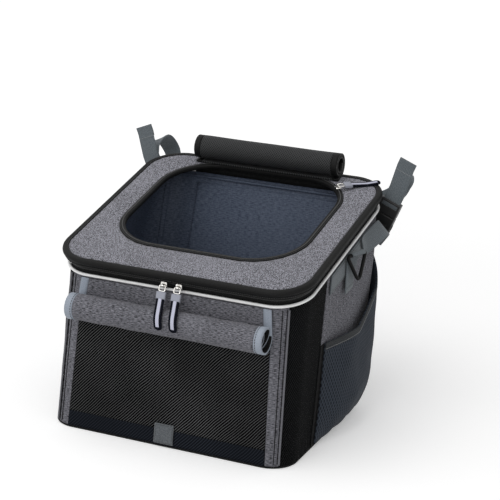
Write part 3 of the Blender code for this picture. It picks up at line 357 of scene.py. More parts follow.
def woven(
    name, dark, light, thread=1.1 * MM, slub=6 * MM, roughness=0.9, contrast=5, space="UV", weft=0.7,
    sheen=0.1,
):
    """Plain weave of marled yarn: streaks along both threads mix a dark and a light yarn."""
    material, wire, sockets = finish(name, roughness, Sheen_Weight=sheen, Specular_IOR_Level=0.15)
    both = []
    for across, along in ((slub, thread), (thread, slub)):
        scale = (1 / across, 1 / along, 1)
        stretch = wire.node("Mapping", {}, {"Vector": wire.place(space), "Scale": scale})
        streak = wire.node("TexNoise", {}, {"Vector": stretch, "Scale": 1.0, "Detail": 3.0}, "Fac")
        both.append(streak - 0.5)
    broad = wire.noise(14.0, space)
    yarn = both[0] * weft + both[1] * (1 - weft)
    fleck = (yarn * contrast + 0.5 + (broad - 0.5) * 0.4).clamp()
    join(fleck.mix(dark, light), sockets["Base Color"])
    relief(both[0] + both[1] + 0.5, WEAVE_DEPTH, sockets)
    return material


BLACK_WEAVE = woven("black_weave", grey(0.003), grey(0.012, 0.001), roughness=0.8, sheen=0)

BASE_STATIONS = np.linspace(0, WHOLE_TURN, 240, endpoint=False)
BASE_RINGS = ((30, 3.0), (8, 3.0), (1.4, 3.2), (0.2, 2.6), (0, 1.4), (0.6, 0.4), (3, 0.05), (34, 0))
MOST_INSET = 0.97


def base_ring(inset, z):
    """The base's outline moved inwards, but never as far as its middle."""
    x, y, out_x, out_y = outline(BASE_STATIONS, BASE_WIDTH, BASE_DEPTH, BASE_RADIUS)
    inset = np.minimum(inset, MOST_INSET * (np.abs(x * out_x) + np.abs((y - BASE_DEPTH / 2) * out_y)))
    return np.stack([x - out_x * inset, y - BASE_DEPTH / 2 - out_y * inset, np.full_like(x, z)], -1)


rings = np.stack([base_ring(inset * MM, z * MM) for inset, z in BASE_RINGS[::-1]])
base = surface("base_fabric", rings, wrap_u=True, caps=True)
fit(base, "basket", "black_cloth", BLACK_WEAVE, "base_panel")


def repaint(node, material):
    """Gives a solid that stays as it is a better finish."""
    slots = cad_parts[node].data.materials
    slots.clear()
    slots.append(material)


repaint("base_board", speckled("board_plastic", 0.55, 900.0, grey(0.02), grey(0.045), 0.1 * MM))

MAT_INSET = 14 * MM
MAT_HALF = (BODY_WIDTH / 2 - SHELL - MAT_INSET, BASE_DEPTH / 2 - SHELL - MAT_INSET)
MAT_FLOOR = 6.6 * MM
MAT_THICK = 15 * MM
MAT_CROWN = 5 * MM
MAT_CHANNEL = 3.6 * MM
MAT_GATHER = 0.35 * MM
MAT_SWELL = 0.7 * MM
SWELL_LENGTH = 90 * MM

v, u = np.meshgrid(np.linspace(-1, 1, 110), np.linspace(-1, 1, 140), indexing="ij")
drawn_x = MAT_HALF[0] - MAT_CROWN * (1 - v**2)
drawn_y = MAT_HALF[1] - MAT_CROWN * (1 - u**2)
edge = (1 - u**6) * (1 - v**6)
sewn_down = np.maximum(0, np.cos(math.pi * 4 * u))
channel = MAT_CHANNEL * sewn_down**10 * edge
gather = MAT_GATHER * np.sin(v * 90) * sewn_down**2 * edge
x, y = u * drawn_x, v * drawn_y
rise = (MAT_THICK - MAT_CROWN) / 2 + (MAT_THICK + MAT_CROWN) / 2 * edge**0.5 - channel + gather
rise += MAT_SWELL * ripple(x, y, SWELL_LENGTH, 2) * edge
top = np.stack([x, y, MAT_FLOOR + rise], -1)
bottom = np.stack([x, y, np.full_like(x, MAT_FLOOR)], -1)
mat = surface("fleece_mat", np.concatenate([top, bottom[:, ::-1]], 1), wrap_u=True, caps=True)
FLEECE = speckled(
    "fleece", 0.95, 420.0, grey(0.04, 0.006), grey(0.13, 0.012), 1.2 * MM, (0.3, 0.7),
    noise={"Detail": 4.0, "Roughness": 0.7}, Sheen_Weight=0.5,
)
fit(mat, "basket", "fleece", FLEECE, "floor_cushion")


# Walls: marled polyester panels sewn edge to edge on a sloping rim, the sides swelling along a
# ridge. Knitted mesh fills the front window and the front of each side. A dark lining backs them.

FRONT_HEIGHT = 207 * MM
FRONT_LEAN = 28 * MM
RIM_DEPTH = 313 * MM
RIM_SLOPE = math.radians(12.9)
RIM_RADIUS = 44 * MM
SIDE_BULGE = 8 * MM
RIDGE_FOOT_SHARE = 0.15
RIDGE_HEAD_SHARE = 0.94
RIDGE_CURVE = 2.2
WALL_FOOT = BASE_SHELL + GAP
RIM_FRONT_Y = FRONT_LEAN - BASE_DEPTH / 2
WINDOW_EDGE = 1.1
FRONT_SEAM = 1.42
MESH_SEAM = 2.24
REAR_SEAM = 3.5
HALF_FRONT, CORNER_ARC = BODY_WIDTH / 2 - RIM_RADIUS, RIM_RADIUS * math.pi / 2
STRETCHES = np.array([HALF_FRONT, CORNER_ARC, RIM_DEPTH - 2 * RIM_RADIUS, CORNER_ARC, HALF_FRONT])
ROUND = np.concatenate([[0], np.cumsum(np.concatenate([STRETCHES, STRETCHES[::-1]]))])
SIDES = {"left": -1, "right": 1}


def run(start, end, spacing):
    """Places from start to end, spaced evenly in metres round the rim."""
    whole = np.arange(-WHOLE_TURN, 2 * WHOLE_TURN + 1)
    lengths = np.concatenate([ROUND[:-1] - ROUND[-1], ROUND[:-1], ROUND + ROUND[-1]])
    first, last = np.interp([start, end], whole, lengths)
    count = max(int((last - first) / spacing), 2) + 1
    return np.interp(np.linspace(first, last, count), lengths, whole)


def rim_point(x, down_slope, rise=0):
    """A point of the rim's sloping plane, and above it by rise."""
    y = RIM_FRONT_Y + down_slope * math.cos(RIM_SLOPE) - rise * math.sin(RIM_SLOPE)
    z = FRONT_HEIGHT + down_slope * math.sin(RIM_SLOPE) + rise * math.cos(RIM_SLOPE)
    return np.stack(np.broadcast_arrays(x, y, z), -1)


def side_share(place, start, end):
    """How far along a side a place lies, from 0 at its start to 1 at its end, on left and right."""
    turned = np.minimum(np.mod(place, WHOLE_TURN), np.mod(-place, WHOLE_TURN))
    return np.clip((turned - start) / (end - start), 0, 1)


def bulge(place, height):
    """How far a side swells: half a sine wave up the wall, highest along the ridge."""
    share = side_share(place, MESH_SEAM, REAR_SEAM)
    height = np.clip(height, 0, 1)
    ridge = RIDGE_FOOT_SHARE + (RIDGE_HEAD_SHARE - RIDGE_FOOT_SHARE) * height**RIDGE_CURVE
    across = np.where(share < ridge, share / ridge, (1 - share) / (1 - ridge))
    return SIDE_BULGE * np.sin(math.pi / 2 * across) * np.sin(math.pi * height)


def wall_point(place, height, out=0):
    """A point of the wall: height is the share from base to rim, out the distance outwards."""
    place, height, out = np.broadcast_arrays(place * 1.0, height, out)
    base_x, base_y, base_ox, base_oy = outline(place, BASE_WIDTH, BASE_DEPTH, BASE_RADIUS)
    rim_x, rim_y, rim_ox, rim_oy = outline(place, BODY_WIDTH, RIM_DEPTH, RIM_RADIUS)
    foot = np.stack([base_x, base_y - BASE_DEPTH / 2, np.full_like(base_x, WALL_FOOT)], -1)
    outward = np.stack([base_ox, base_oy, 0 * base_ox], -1)
    outward = outward + np.stack([rim_ox - base_ox, rim_oy - base_oy, 0 * base_ox], -1) * height[..., None]
    outward = outward / np.linalg.norm(outward, axis=-1, keepdims=True)
    line = foot + (rim_point(rim_x, rim_y) - foot) * height[..., None]
    return line + outward * (out + bulge(place, height))[..., None]


def wall_height(place):
    """Length of the wall from foot to rim at this place."""
    return np.linalg.norm(wall_point(place, 1.0) - wall_point(place, 0.0), axis=-1)


def wall_head(place):
    """Height of the wall's head: a little short of the rim where the slope would lift its thickness."""
    out_y = outline(place * 1.0, BODY_WIDTH, RIM_DEPTH, RIM_RADIUS)[3]
    return 1 - SHELL * math.sin(RIM_SLOPE) * np.maximum(out_y, 0) / wall_height(place)


def along_wall(place, distance):
    """The place a distance further round the rim."""
    return place + distance / STRETCHES[int(min(place % WHOLE_TURN, -place % WHOLE_TURN))]


def mirrored(place, side):
    """A place on the right, or its mirror image on the left."""
    return place if side > 0 else WHOLE_TURN - place


def sided(start, end, side):
    """A stretch of wall on the right, or its mirror image on the left."""
    return (start, end) if side > 0 else (WHOLE_TURN - end, WHOLE_TURN - start)


def travelled(path):
    """Length along a path at each of its points."""
    return np.concatenate([[0], np.cumsum(np.linalg.norm(np.diff(path, axis=0), axis=1))])


SEAM_FADE = 7 * MM
GATHERS_UP, GATHERS_ACROSS = 11 * MM, 13 * MM
SWELL_MARGIN = 15 * MM


def seams(distance_u, distance_v, u, v, strength):
    """Small gathers square to a seam, fading within a few millimetres of it."""
    side = np.exp(-distance_u / SEAM_FADE) * np.sin(v * 2 * math.pi / GATHERS_UP + 2 * np.sin(v * 90))
    ends = np.exp(-distance_v / SEAM_FADE) * np.sin(u * 2 * math.pi / GATHERS_ACROSS + 2 * np.sin(u * 70))
    return strength * (side + ends)


def sewn_in(
    name, places, heights, slot, material, thickness, *nodes, lining=None, out=0, spacing=3 * MM,
    pucker=0.25 * MM, swell=0.5 * MM, seed=1,
):
    """A sheet of the wall between two places and two heights, with gathers along its seams."""
    foot, head = heights
    places = run(*places, spacing)
    low = np.full_like(places, foot)
    high = head(places) if callable(head) else np.full_like(places, head)
    tall = float(np.max(wall_height(places) * (high - low)))
    share = np.linspace(0, 1, max(int(tall / spacing), 2) + 1)[:, None]
    heights = low + (high - low) * share
    u = travelled(wall_point(places, 0.9))
    v = share * tall + 0 * u
    to_side = np.minimum(u, u[-1] - u) + 0 * v
    to_end = np.minimum(v, tall - v)
    inner = np.clip(np.minimum(to_side, to_end) / SWELL_MARGIN, 0, 1)
    soft = seams(to_side, to_end, u + 0 * v, v, pucker) + swell * inner * ripple(u, v, SWELL_LENGTH, seed)
    sheet = surface(name, wall_point(places[None, :] + 0 * heights, heights, out + soft - pucker))
    return thicken(fit(sheet, "basket", slot, material, *nodes), thickness, lining=lining)


def netting(name, pitch, thread, shade, slant, clear, gleam=0.35, bare=0.5):
    """Knitted mesh: raised slanting threads over a fainter crossing set, with small holes between."""
    material, wire, sockets = finish(name, 0.7, Specular_IOR_Level=0.03)
    x, y = wire.flat()
    wobble = wire.noise(25.0, "UV") * (1.2 * pitch)
    slow = wire.noise(9.0, "UV").step(0.3, 0.7)
    first = ((x * math.sin(slant) - y * math.cos(slant) + wobble) / pitch).wave()
    second = ((x * math.cos(slant) + y * math.sin(slant) + wobble) / (pitch * 0.8)).wave()
    raised = first.step(bare, 0.95)
    tone = (raised * (0.5 + 0.5 * slow) + second * gleam * 0.5).clamp()
    join(tone.mix(shade, thread), sockets["Base Color"])
    if clear:
        holes = (1 - first.step(0.25, 0.5)) * second.step(0.35, 0.6)
        join(1 - holes * clear, sockets["Alpha"])
    relief(tone, 0.25 * MM, sockets)
    return material


MELANGE = woven(
    "grey_melange", marl(0.036), marl(0.25), thread=0.7 * MM, slub=5 * MM, contrast=5.4, weft=0.8,
)
LINING = woven("navy_lining", (0.052, 0.066, 0.1, 1), (0.115, 0.14, 0.196, 1), roughness=0.5, sheen=0)
FRONT_SLANT, SIDE_SLANT = math.radians(48), math.radians(60)
WINDOW_MESH = netting(
    "window_mesh", 3.0 * MM, grey(0.165, 0.007), grey(0.0006), FRONT_SLANT, clear=0.35, gleam=0, bare=0.78,
)
BAND_MESH = netting(
    "band_mesh", 3.2 * MM, (0.028, 0.032, 0.042, 1), (0.003, 0.004, 0.006, 1), FRONT_SLANT, clear=0,
)
SIDE_MESH = netting("side_mesh", 2.8 * MM, grey(0.016, 0.002), grey(0.0015), SIDE_SLANT, clear=0.25)
MESH_THICK = 0.5 * MM
LOWER_BAND = 20 * MM
TOP_BAND = 30 * MM

FRONT_TALL = wall_height(0.0)
BAND_TOP = LOWER_BAND / FRONT_TALL
WINDOW_TOP = 1 - TOP_BAND / FRONT_TALL


def marled(name, places, heights, node, **more):
    """A marled panel of the wall, backed with the lining."""
    return sewn_in(name, places, heights, "grey_melange", MELANGE, SHELL, node, lining=LINING, **more)


front, seam = (-WINDOW_EDGE, WINDOW_EDGE), GAP / FRONT_TALL
sewn_in(
    "front_lower_band_cloth", front, (0, BAND_TOP), "navy_lining", BAND_MESH, SHELL, "front_lower_band",
    lining=LINING, seed=3,
)
sewn_in(
    "front_window", front, (BAND_TOP + seam, WINDOW_TOP - seam), "black_mesh", WINDOW_MESH, MESH_THICK,
    "front_window_mesh", swell=1.1 * MM, seed=5,
)
marled("front_top_band_cloth", front, (WINDOW_TOP, wall_head), "front_top_band", seed=4)

PIPING_GREY = speckled("corner_piping", 0.6, 1200.0, marl(0.05), marl(0.2), 0.1 * MM)
SEAM_THREAD = speckled("seam_thread", 0.8, 900.0, grey(0.004), grey(0.014), Specular_IOR_Level=0.1)
CORNER_PIPING_RADIUS = 1.3 * MM
STRIP_SEAMS = ((8 * MM, 0.55 * MM), (2.2 * MM, 0.45 * MM))
SEAM_SHARES = (0.012, 0.97)
SEAM_TAPE = 9 * MM
REAR_TAPE_SHARES = (0.01, 0.97)
FRONT_TAPE_EDGES = (-2 * MM, 8 * MM)
FRONT_TAPE_SHARES = (0.005, 0.585)
TAPE_THICK = 0.7 * MM
TAPE_WEAVE = {"spacing": 2 * MM, "swell": 0.1 * MM}
BOARD_START = 4.12
BOARD_SHARES = (0.06, 0.95)


def tangents(path, closed=False):
    """Unit direction at each point of a path."""
    if closed:
        step = np.roll(path, -1, 0) - np.roll(path, 1, 0)
    else:
        step = np.gradient(path, axis=0)
    return step / np.linalg.norm(step, axis=1, keepdims=True)


def cord_round(name, path, radius, closed=False, sides=12):
    """A round cord: a circle carried along a path, square to it, its start turned by the Z axis."""
    along = tangents(path, closed)
    away = np.cross(along, np.broadcast_to([0.31, 0.17, 0.93], along.shape))
    away /= np.linalg.norm(away, axis=1, keepdims=True)
    third = np.cross(along, away)
    angle = np.linspace(0, 2 * math.pi, sides, endpoint=False)
    ring = np.cos(angle)[None, :, None] * away[:, None] + np.sin(angle)[None, :, None] * third[:, None]
    reach = radius[:, None, None] if isinstance(radius, np.ndarray) else radius
    return surface(name, path[:, None] + ring * reach, wrap_u=True, wrap_v=closed, caps=not closed)


whole_wall = (0, wall_head)
for name, side in SIDES.items():
    strip = sided(along_wall(WINDOW_EDGE, SOFT_GAP), FRONT_SEAM, side)
    node = "front_corner_strip_" + name
    marled("front_corner_cloth_" + name, strip, whole_wall, node, spacing=2 * MM, seed=6)
    for shift, half in STRIP_SEAMS:
        place = mirrored(along_wall(FRONT_SEAM, -shift), side)
        line = wall_point(place, np.linspace(*SEAM_SHARES, 100), 0.15 * MM)
        row = cord_round("strip_seam_%d_%s" % (shift / MM, name), line, half, sides=6)
        fit(row, "basket", "black_cloth", SEAM_THREAD)
    mesh = sided(along_wall(FRONT_SEAM, SOFT_GAP), MESH_SEAM, side)
    sewn_in(
        "side_window_" + name, mesh, whole_wall, "black_mesh", SIDE_MESH, MESH_THICK, "side_mesh_" + name,
        swell=0.7 * MM, pucker=0.3 * MM, seed=7,
    )
    panel = sided(along_wall(MESH_SEAM, SOFT_GAP), REAR_SEAM, side)
    marled("side_cloth_" + name, panel, whole_wall, "side_panel_" + name, seed=8)
    stand = CORNER_PIPING_RADIUS + SOFT_GAP
    line = wall_point(mirrored(FRONT_SEAM, side), np.linspace(*SEAM_SHARES, 120), stand)
    cord = cord_round("corner_cord_" + name, line, CORNER_PIPING_RADIUS)
    fit(cord, "basket", "reflective_grey", PIPING_GREY, "corner_piping_" + name)
for name, side in SIDES.items():
    middle = mirrored(REAR_SEAM, side)
    tape = sorted((along_wall(middle, -SEAM_TAPE / 2), along_wall(middle, SEAM_TAPE / 2)))
    sewn_in(
        "rear_seam_tape_" + name, tape, REAR_TAPE_SHARES, "navy_lining", LINING, TAPE_THICK,
        out=-SHELL - GAP, **TAPE_WEAVE,
    )
    tape = sided(*(along_wall(MESH_SEAM, edge) for edge in FRONT_TAPE_EDGES), side)
    sewn_in(
        "mesh_seam_tape_" + name, tape, FRONT_TAPE_SHARES, "black_cloth", BLACK_WEAVE, TAPE_THICK,
        out=1.0 * MM, **TAPE_WEAVE,
    )
back_start = along_wall(REAR_SEAM, SOFT_GAP)
marled("back_cloth", (back_start, WHOLE_TURN - back_start), whole_wall, "back_panel", seed=9)
board = (BOARD_START, WHOLE_TURN - BOARD_START)
sewn_in(
    "back_lining", board, BOARD_SHARES, "board", LINING, SHELL, "back_board", out=-SHELL - GAP, seed=10,
)


# Side pockets: stretchy navy spacer mesh, sewn down at the front, foot and rear. A dark hem with one
# pale row of stitches closes the mouth, which dips towards the side's ridge and climbs to the rear.

POCKET_SHELL = 2 * MM
POCKET_STAND = 20 * MM
POCKET_SEAM_GAP = 1.1 * MM
POCKET_FULLEST_SHARE = 0.35
POCKET_MOUTH_STAND_SHARE = 0.4
POCKET_START = 2.27
POCKET_END = 3.42
POCKET_RIDGE_SHARE = 0.36
POCKET_FOOT_SHARE = 0.01
POCKET_MOUTH_SHARES = (0.59, 0.54, 0.76)
HEM_WIDTH = 9 * MM


def pocket_mouth(place):
    """Height of the mouth: two straight runs that meet at the ridge."""
    share = side_share(place, POCKET_START, POCKET_END)
    return np.interp(share, [0, POCKET_RIDGE_SHARE, 1], POCKET_MOUTH_SHARES)


def pocket_stand(place, height):
    """The pocket's distance from the side: a sine rise to the ridge, and full low down."""
    share = side_share(place, POCKET_START, POCKET_END)
    rising = np.sin(math.pi / 2 * share / POCKET_RIDGE_SHARE)
    falling = np.cos(math.pi / 2 * (share - POCKET_RIDGE_SHARE) / (1 - POCKET_RIDGE_SHARE))
    across = np.where(share < POCKET_RIDGE_SHARE, rising, falling)
    up = np.clip((height - POCKET_FOOT_SHARE) / (pocket_mouth(place) - POCKET_FOOT_SHARE), 0, 1)
    lower = np.sin(math.pi / 2 * np.minimum(up / POCKET_FULLEST_SHARE, 1)) ** 0.6
    upper = 1 - (1 - POCKET_MOUTH_STAND_SHARE) * (up - POCKET_FULLEST_SHARE) / (1 - POCKET_FULLEST_SHARE)
    return POCKET_SEAM_GAP + POCKET_STAND * across * np.where(up < POCKET_FULLEST_SHARE, lower, upper)


def spacer(name, pitch, dark, light):
    """Spacer mesh: rows of small dark dimples, each row shifted by half a pitch."""
    material, wire, sockets = finish(name, 0.75, Sheen_Weight=0.05, Specular_IOR_Level=0.1)
    x, y = wire.flat()
    column = (x / pitch).wave()
    row = (y / (pitch * 3**0.5)).wave()
    even = (1 - column) * (1 - row)
    dimple = even.math("MAXIMUM", even, column * row).step(0.3, 0.75)
    broad = wire.noise(30.0, "UV")
    join((dimple * 0.8 + (broad - 0.5) * 0.4).clamp().mix(light, dark), sockets["Base Color"])
    relief(1 - dimple, 0.5 * MM, sockets)
    return material


POCKET_MESH = spacer("pocket_mesh", 5 * MM, (0.002, 0.003, 0.006, 1), (0.043, 0.053, 0.07, 1))
HEM_CLOTH = woven("pocket_hem", grey(0.014, 0.003), grey(0.06, 0.008), thread=0.9 * MM, slub=1.4 * MM)
THREAD = speckled("thread", 0.6, 2500.0, grey(0.2, 0.01), grey(0.38, 0.02))

SPINDLE_RINGS = ((-0.5, 0.2), (-0.32, 1), (0.32, 1), (0.5, 0.2))
SPINDLE_SIDES = 5
STITCH_SHARE = 0.78


def unit(vectors):
    """Vectors at length one."""
    return vectors / np.linalg.norm(vectors, axis=-1, keepdims=True)


def solid(name, points, faces):
    """A piece from its corners and faces."""
    mesh = bpy.data.meshes.new(name)
    mesh.from_pydata(points.tolist(), [], faces)
    mesh.shade_smooth()
    piece = bpy.data.objects.new(name, mesh)
    bpy.context.collection.objects.link(piece)
    return piece


def repeated(name, centres, along, up, points, faces):
    """One small shape at each centre. Its x lies along, its z up and its y square to both."""
    across = unit(np.cross(up, along))
    shape = np.array(points, float)
    axes = np.stack([along, across, np.cross(along, across)], 1)
    placed = centres[:, None] + np.einsum("kj,njd->nkd", shape, axes)
    shift = np.arange(len(centres)) * len(shape)
    every = [[corner + step for corner in face] for step in shift.tolist() for face in faces]
    return solid(name, placed.reshape(-1, 3), every)


def spots_on(path, distances):
    """The points of a path at these distances along it."""
    length = travelled(path)
    return np.stack([np.interp(distances, length, path[:, k]) for k in range(3)], -1)


def evenly(path, pitch):
    """Points along a path at an even pitch, with the direction at each."""
    stops = np.arange(pitch / 2, travelled(path)[-1], pitch)
    step = spots_on(path, stops + pitch / 4) - spots_on(path, stops - pitch / 4)
    return spots_on(path, stops), unit(step)


def stitches(name, path, out, body, pitch, radius=0.3 * MM, material=THREAD):
    """A row of stitches on a path: a short spindle of thread for each, with a space after it."""
    centres, along = evenly(path, pitch)
    up = unit(np.broadcast_to(out, along.shape) - along * np.sum(along * out, axis=1, keepdims=True))
    angle = np.linspace(0, 2 * math.pi, SPINDLE_SIDES, endpoint=False)
    points = [
        (x * pitch * STITCH_SHARE, radius * share * math.cos(a), radius * share * math.sin(a))
        for x, share in SPINDLE_RINGS for a in angle
    ]
    n = SPINDLE_SIDES
    faces = [
        [r * n + k, r * n + (k + 1) % n, (r + 1) * n + (k + 1) % n, (r + 1) * n + k]
        for r in range(len(SPINDLE_RINGS) - 1) for k in range(n)
    ]
    faces += [list(range(n))[::-1], list(range(3 * n, 4 * n))]
    return fit(repeated(name, centres, along, up, points, faces), body, "reflective_grey", material)


HEM_THICK = 0.5 * MM
HEM_SAG = 0.3 * MM
HEM_ROW_SHARE = 0.86
SLACK_DEPTH, SLACK_LENGTH = 0.9 * MM, 60 * MM
FOLD_DEPTH, FOLDS_A_PLACE, FOLD_FADE = 1.1 * MM, 34, 7
for name, side in SIDES.items():
    places = run(*sided(POCKET_START, POCKET_END, side), 2 * MM)
    share = np.linspace(0, 1, 110)[:, None]
    heights = POCKET_FOOT_SHARE + (pocket_mouth(places) - POCKET_FOOT_SHARE) * share
    grid = places + 0 * heights
    full = pocket_stand(grid, heights) / POCKET_STAND
    slack = SLACK_DEPTH * ripple(grid * 0.2, heights * 0.2, SLACK_LENGTH, 11) * np.clip(full * 2, 0, 1)
    folds = FOLD_DEPTH * np.sin(grid * FOLDS_A_PLACE) * np.exp(-share * FOLD_FADE)
    folds = folds * np.clip(full * 3, 0, 1)
    stand = pocket_stand(grid, heights) + POCKET_SHELL + slack + folds
    cloth = surface("pocket_" + name, wall_point(grid, heights, stand))
    thicken(fit(cloth, "basket", "navy_mesh", POCKET_MESH, "side_pocket_" + name), POCKET_SHELL)
    tall = wall_height(places)
    mouth = pocket_mouth(places)
    share = np.linspace(0, 1, 7)[:, None]
    heights = mouth - (HEM_WIDTH / tall) * (1 - share)
    grid = places + 0 * heights
    stand = pocket_stand(grid, heights) + POCKET_SHELL + HEM_THICK + HEM_SAG * np.sin(math.pi * share)
    hem = surface("pocket_hem_" + name, wall_point(grid, heights, stand))
    thicken(fit(hem, "basket", "navy_mesh", HEM_CLOTH), HEM_THICK)
    lower = mouth - HEM_WIDTH * HEM_ROW_SHARE / tall
    row = wall_point(places, lower, pocket_stand(places, lower) + POCKET_SHELL + 0.75 * MM)
    stitches("pocket_stitches_" + name, row, np.array([side, 0, 0]), "basket", 2.6 * MM)


# Rim: white cord piping sewn into the rim, a steel hoop hidden in a fabric hem just inside it, and
# the main zip's tape and coil above. At the back a tape and two leaves of cloth are the lid's hinge.

LID_SKIRT_FOOT = 9 * MM
HINGE_RISE = LID_SKIRT_FOOT - GAP
PIPING_RADIUS = 2 * MM
RIM_WIRE_DROP = 5 * MM
RIM_WIRE_RADIUS = 1.5 * MM
RIM_HEM_RADIUS = 2.2 * MM
ZIP_END = 3.95
HINGE_START = 4.06
TAPE_INNER = -2.6 * MM
TAPE_OUTER = -0.4 * MM
TAPE_TOP = 6 * MM
TEETH_RADIUS = 1.2 * MM
RIM_STEP = 2.4 * MM
FULL = run(0, WHOLE_TURN, RIM_STEP)[:-1]


def lid_point(place, grow, rise):
    """A point measured from the rim: grow outwards in its plane, rise square to it."""
    x, y, out_x, out_y = outline(place * 1.0, BODY_WIDTH, RIM_DEPTH, RIM_RADIUS)
    return rim_point(x + out_x * grow, y + out_y * grow, rise)


def swept(name, section, places, point, closed=True):
    """A closed section of (grow, rise) points carried round the rim or the opening."""
    grow, rise = np.transpose(section)
    grid = point(places[:, None] + 0 * grow, grow + 0 * places[:, None], rise + 0 * places[:, None])
    return outward(surface(name, grid, wrap_u=True, wrap_v=closed, caps=not closed))


def outward(piece):
    """Turns the faces of a closed piece outwards."""
    shape = bmesh.new()
    shape.from_mesh(piece.data)
    bmesh.ops.recalc_face_normals(shape, faces=shape.faces)
    shape.to_mesh(piece.data)
    shape.free()
    return piece


WHITE_CORD = speckled(
    "white_piping", 0.4, 55.0, grey(1), grey(0.93), limits=(0.35, 0.75), noise={"Detail": 3.0},
    Coat_Weight=0.15,
)
line = lid_point(FULL, PIPING_RADIUS + SOFT_GAP, 0)
cord = cord_round("rim_cord", line, PIPING_RADIUS, closed=True)
fit(cord, "basket", "white_piping", WHITE_CORD, "rim_piping")
inset = SHELL + SOFT_GAP + GAP + RIM_WIRE_RADIUS
line = wall_point(FULL, 1 - RIM_WIRE_DROP / wall_height(FULL), -inset)
hem = cord_round("rim_hem", line, RIM_HEM_RADIUS + 0.15 * MM * np.sin(FULL * 90), closed=True)
fit(hem, "basket", "navy_lining", LINING, "rim_wire")
TAPE_SECTION = np.array((
    (-2.6, 0.3), (-0.4, 0.3), (-0.2, 0.8), (-0.5, 1.4), (-0.5, 3.6), (-0.3, 4.4), (-0.4, 6.0), (-2.6, 6.0),
)) * MM
zip_run = run(-ZIP_END, ZIP_END, RIM_STEP)
tape = swept("zip_tape_lower", TAPE_SECTION, zip_run, lid_point, closed=False)
fit(tape, "basket", "black_cloth", BLACK_WEAVE, "body_zip_tape")

COIL_PLASTIC = speckled("coil_plastic", 0.35, 700.0, grey(0.009), grey(0.022))
TOOTH_PITCH = 2 * MM
TOOTH_EDGE = 0.3 * MM
TOOTH = np.array([(x, y, z) for z in (-1, 1) for x, y in SQUARE]) * (0.6 * MM, 1.2 * MM, 1.2 * MM)
TOOTH_FACES = [(0, 3, 2, 1), (4, 5, 6, 7), (0, 1, 5, 4), (1, 2, 6, 5), (2, 3, 7, 6), (3, 0, 4, 7)]
line = lid_point(zip_run, TAPE_OUTER, TAPE_TOP + GAP + TEETH_RADIUS)
centres, along = evenly(line, TOOTH_PITCH)
rim_up = rim_point(0, 0, 1.0) - rim_point(0, 0, 0)
teeth = repeated("zip_coil", centres, along, np.broadcast_to(rim_up, along.shape), TOOTH, TOOTH_FACES)
teeth.modifiers.new("edges", "BEVEL").width = TOOTH_EDGE
fit(teeth, "basket", "black_plastic", COIL_PLASTIC, "zip_teeth")
core = cord_round("zip_cord", line, 0.75 * MM, sides=8)
fit(core, "basket", "black_plastic", COIL_PLASTIC)

LEAF_REACH = 8.3 * MM
LEAVES = (
    ("hinge_tape", "basket", (TAPE_INNER, TAPE_OUTER), (GAP, HINGE_RISE), ("lid_hinge_tape",)),
    ("hinge_leaf_lower", "basket", (TAPE_OUTER - 0.4 * MM, LEAF_REACH), (7.9 * MM, 8.4 * MM), ()),
    ("hinge_leaf_upper", "lid", (TAPE_OUTER + 0.05 * MM, LEAF_REACH), (8.5 * MM, 9.1 * MM), ()),
)
HINGE_LINE = (8.45 * MM, 8.7 * MM)
hinge_run = run(HINGE_START, WHOLE_TURN - HINGE_START, 3 * MM)
for name, body, (inner, outer), (under, over), nodes in LEAVES:
    section = [(inner, under), (outer, under), (outer, over), (inner, over)]
    leaf = swept(name, section, hinge_run, lid_point, closed=False)
    fit(leaf, body, "black_cloth", BLACK_WEAVE, *nodes)
fold = cord_round("hinge_fold", lid_point(hinge_run, *HINGE_LINE), 0.6 * MM, sides=8)
fit(fold, "basket", "black_cloth", BLACK_WEAVE)


# Lid: a foam panel covered in a paler marl, with a black bound edge, a black gusset down to the
# zip, and a large opening whose edge is bound and carries the coil of the mesh door's zip.

LID_OVERHANG = 8.5 * MM
LID_TOP_RISE = 23.5 * MM
LID_PANEL_THICK = 5 * MM
BORDER_WIDTH = 8 * MM
LID_CROWN = 1.6 * MM
BINDING_PROUD = 1.2 * MM
LID_WIRE_RADIUS = 1.4 * MM
LID_HEM_RADIUS = 1.9 * MM
LID_BORDER = 42 * MM
HOLE_WIDTH = BODY_WIDTH - 2 * LID_BORDER
HOLE_FRONT = 62 * MM
HOLE_REAR = 296 * MM
HOLE_RADIUS = 68 * MM
HOLE_BINDING = 8 * MM


def hole_point(place, grow, rise):
    """A point measured from the edge of the lid's opening."""
    x, y, out_x, out_y = outline(place * 1.0, HOLE_WIDTH, HOLE_REAR - HOLE_FRONT, HOLE_RADIUS)
    return rim_point(x + out_x * grow, HOLE_FRONT + y + out_y * grow, rise)


PALE_MELANGE = woven(
    "pale_melange", marl(0.038), marl(0.385), thread=0.9 * MM, slub=1.6 * MM, contrast=8, space="Object",
    weft=0.55,
)
BINDING_CLOTH = woven(
    "black_binding", grey(0.002), grey(0.01), thread=0.8 * MM, slub=1.6 * MM, roughness=0.6, sheen=0,
)
GUSSET = np.array((
    (-0.4, 9), (0.6, 9.1), (1.8, 9.7), (3.4, 10.9), (4.9, 12.5), (5.8, 13.6), (6.35, 13.9), (6.6, 14.4),
    (6.5, 14.9), (7.0, 15.8), (7.7, 17.2), (7.9, 18.2), (5.2, 18.3), (4.2, 16.8), (3.6, 15), (1.2, 11.8),
    (-2.6, 9.4), (-2.6, 9),
)) * MM
EDGE = np.array((
    (7.6, 17.7), (8.4, 18.4), (8.9, 19.6), (8.9, 21), (8.3, 22.6), (7.2, 23.7), (5.4, 24.25), (3.2, 24.3),
    (1.4, 24.05), (0.45, 23.5), (0.5, 19), (5.5, 18.4),
)) * MM
fit(swept("lid_gusset", GUSSET, FULL, lid_point), "lid", "black_cloth", BLACK_WEAVE, "lid_skirt")
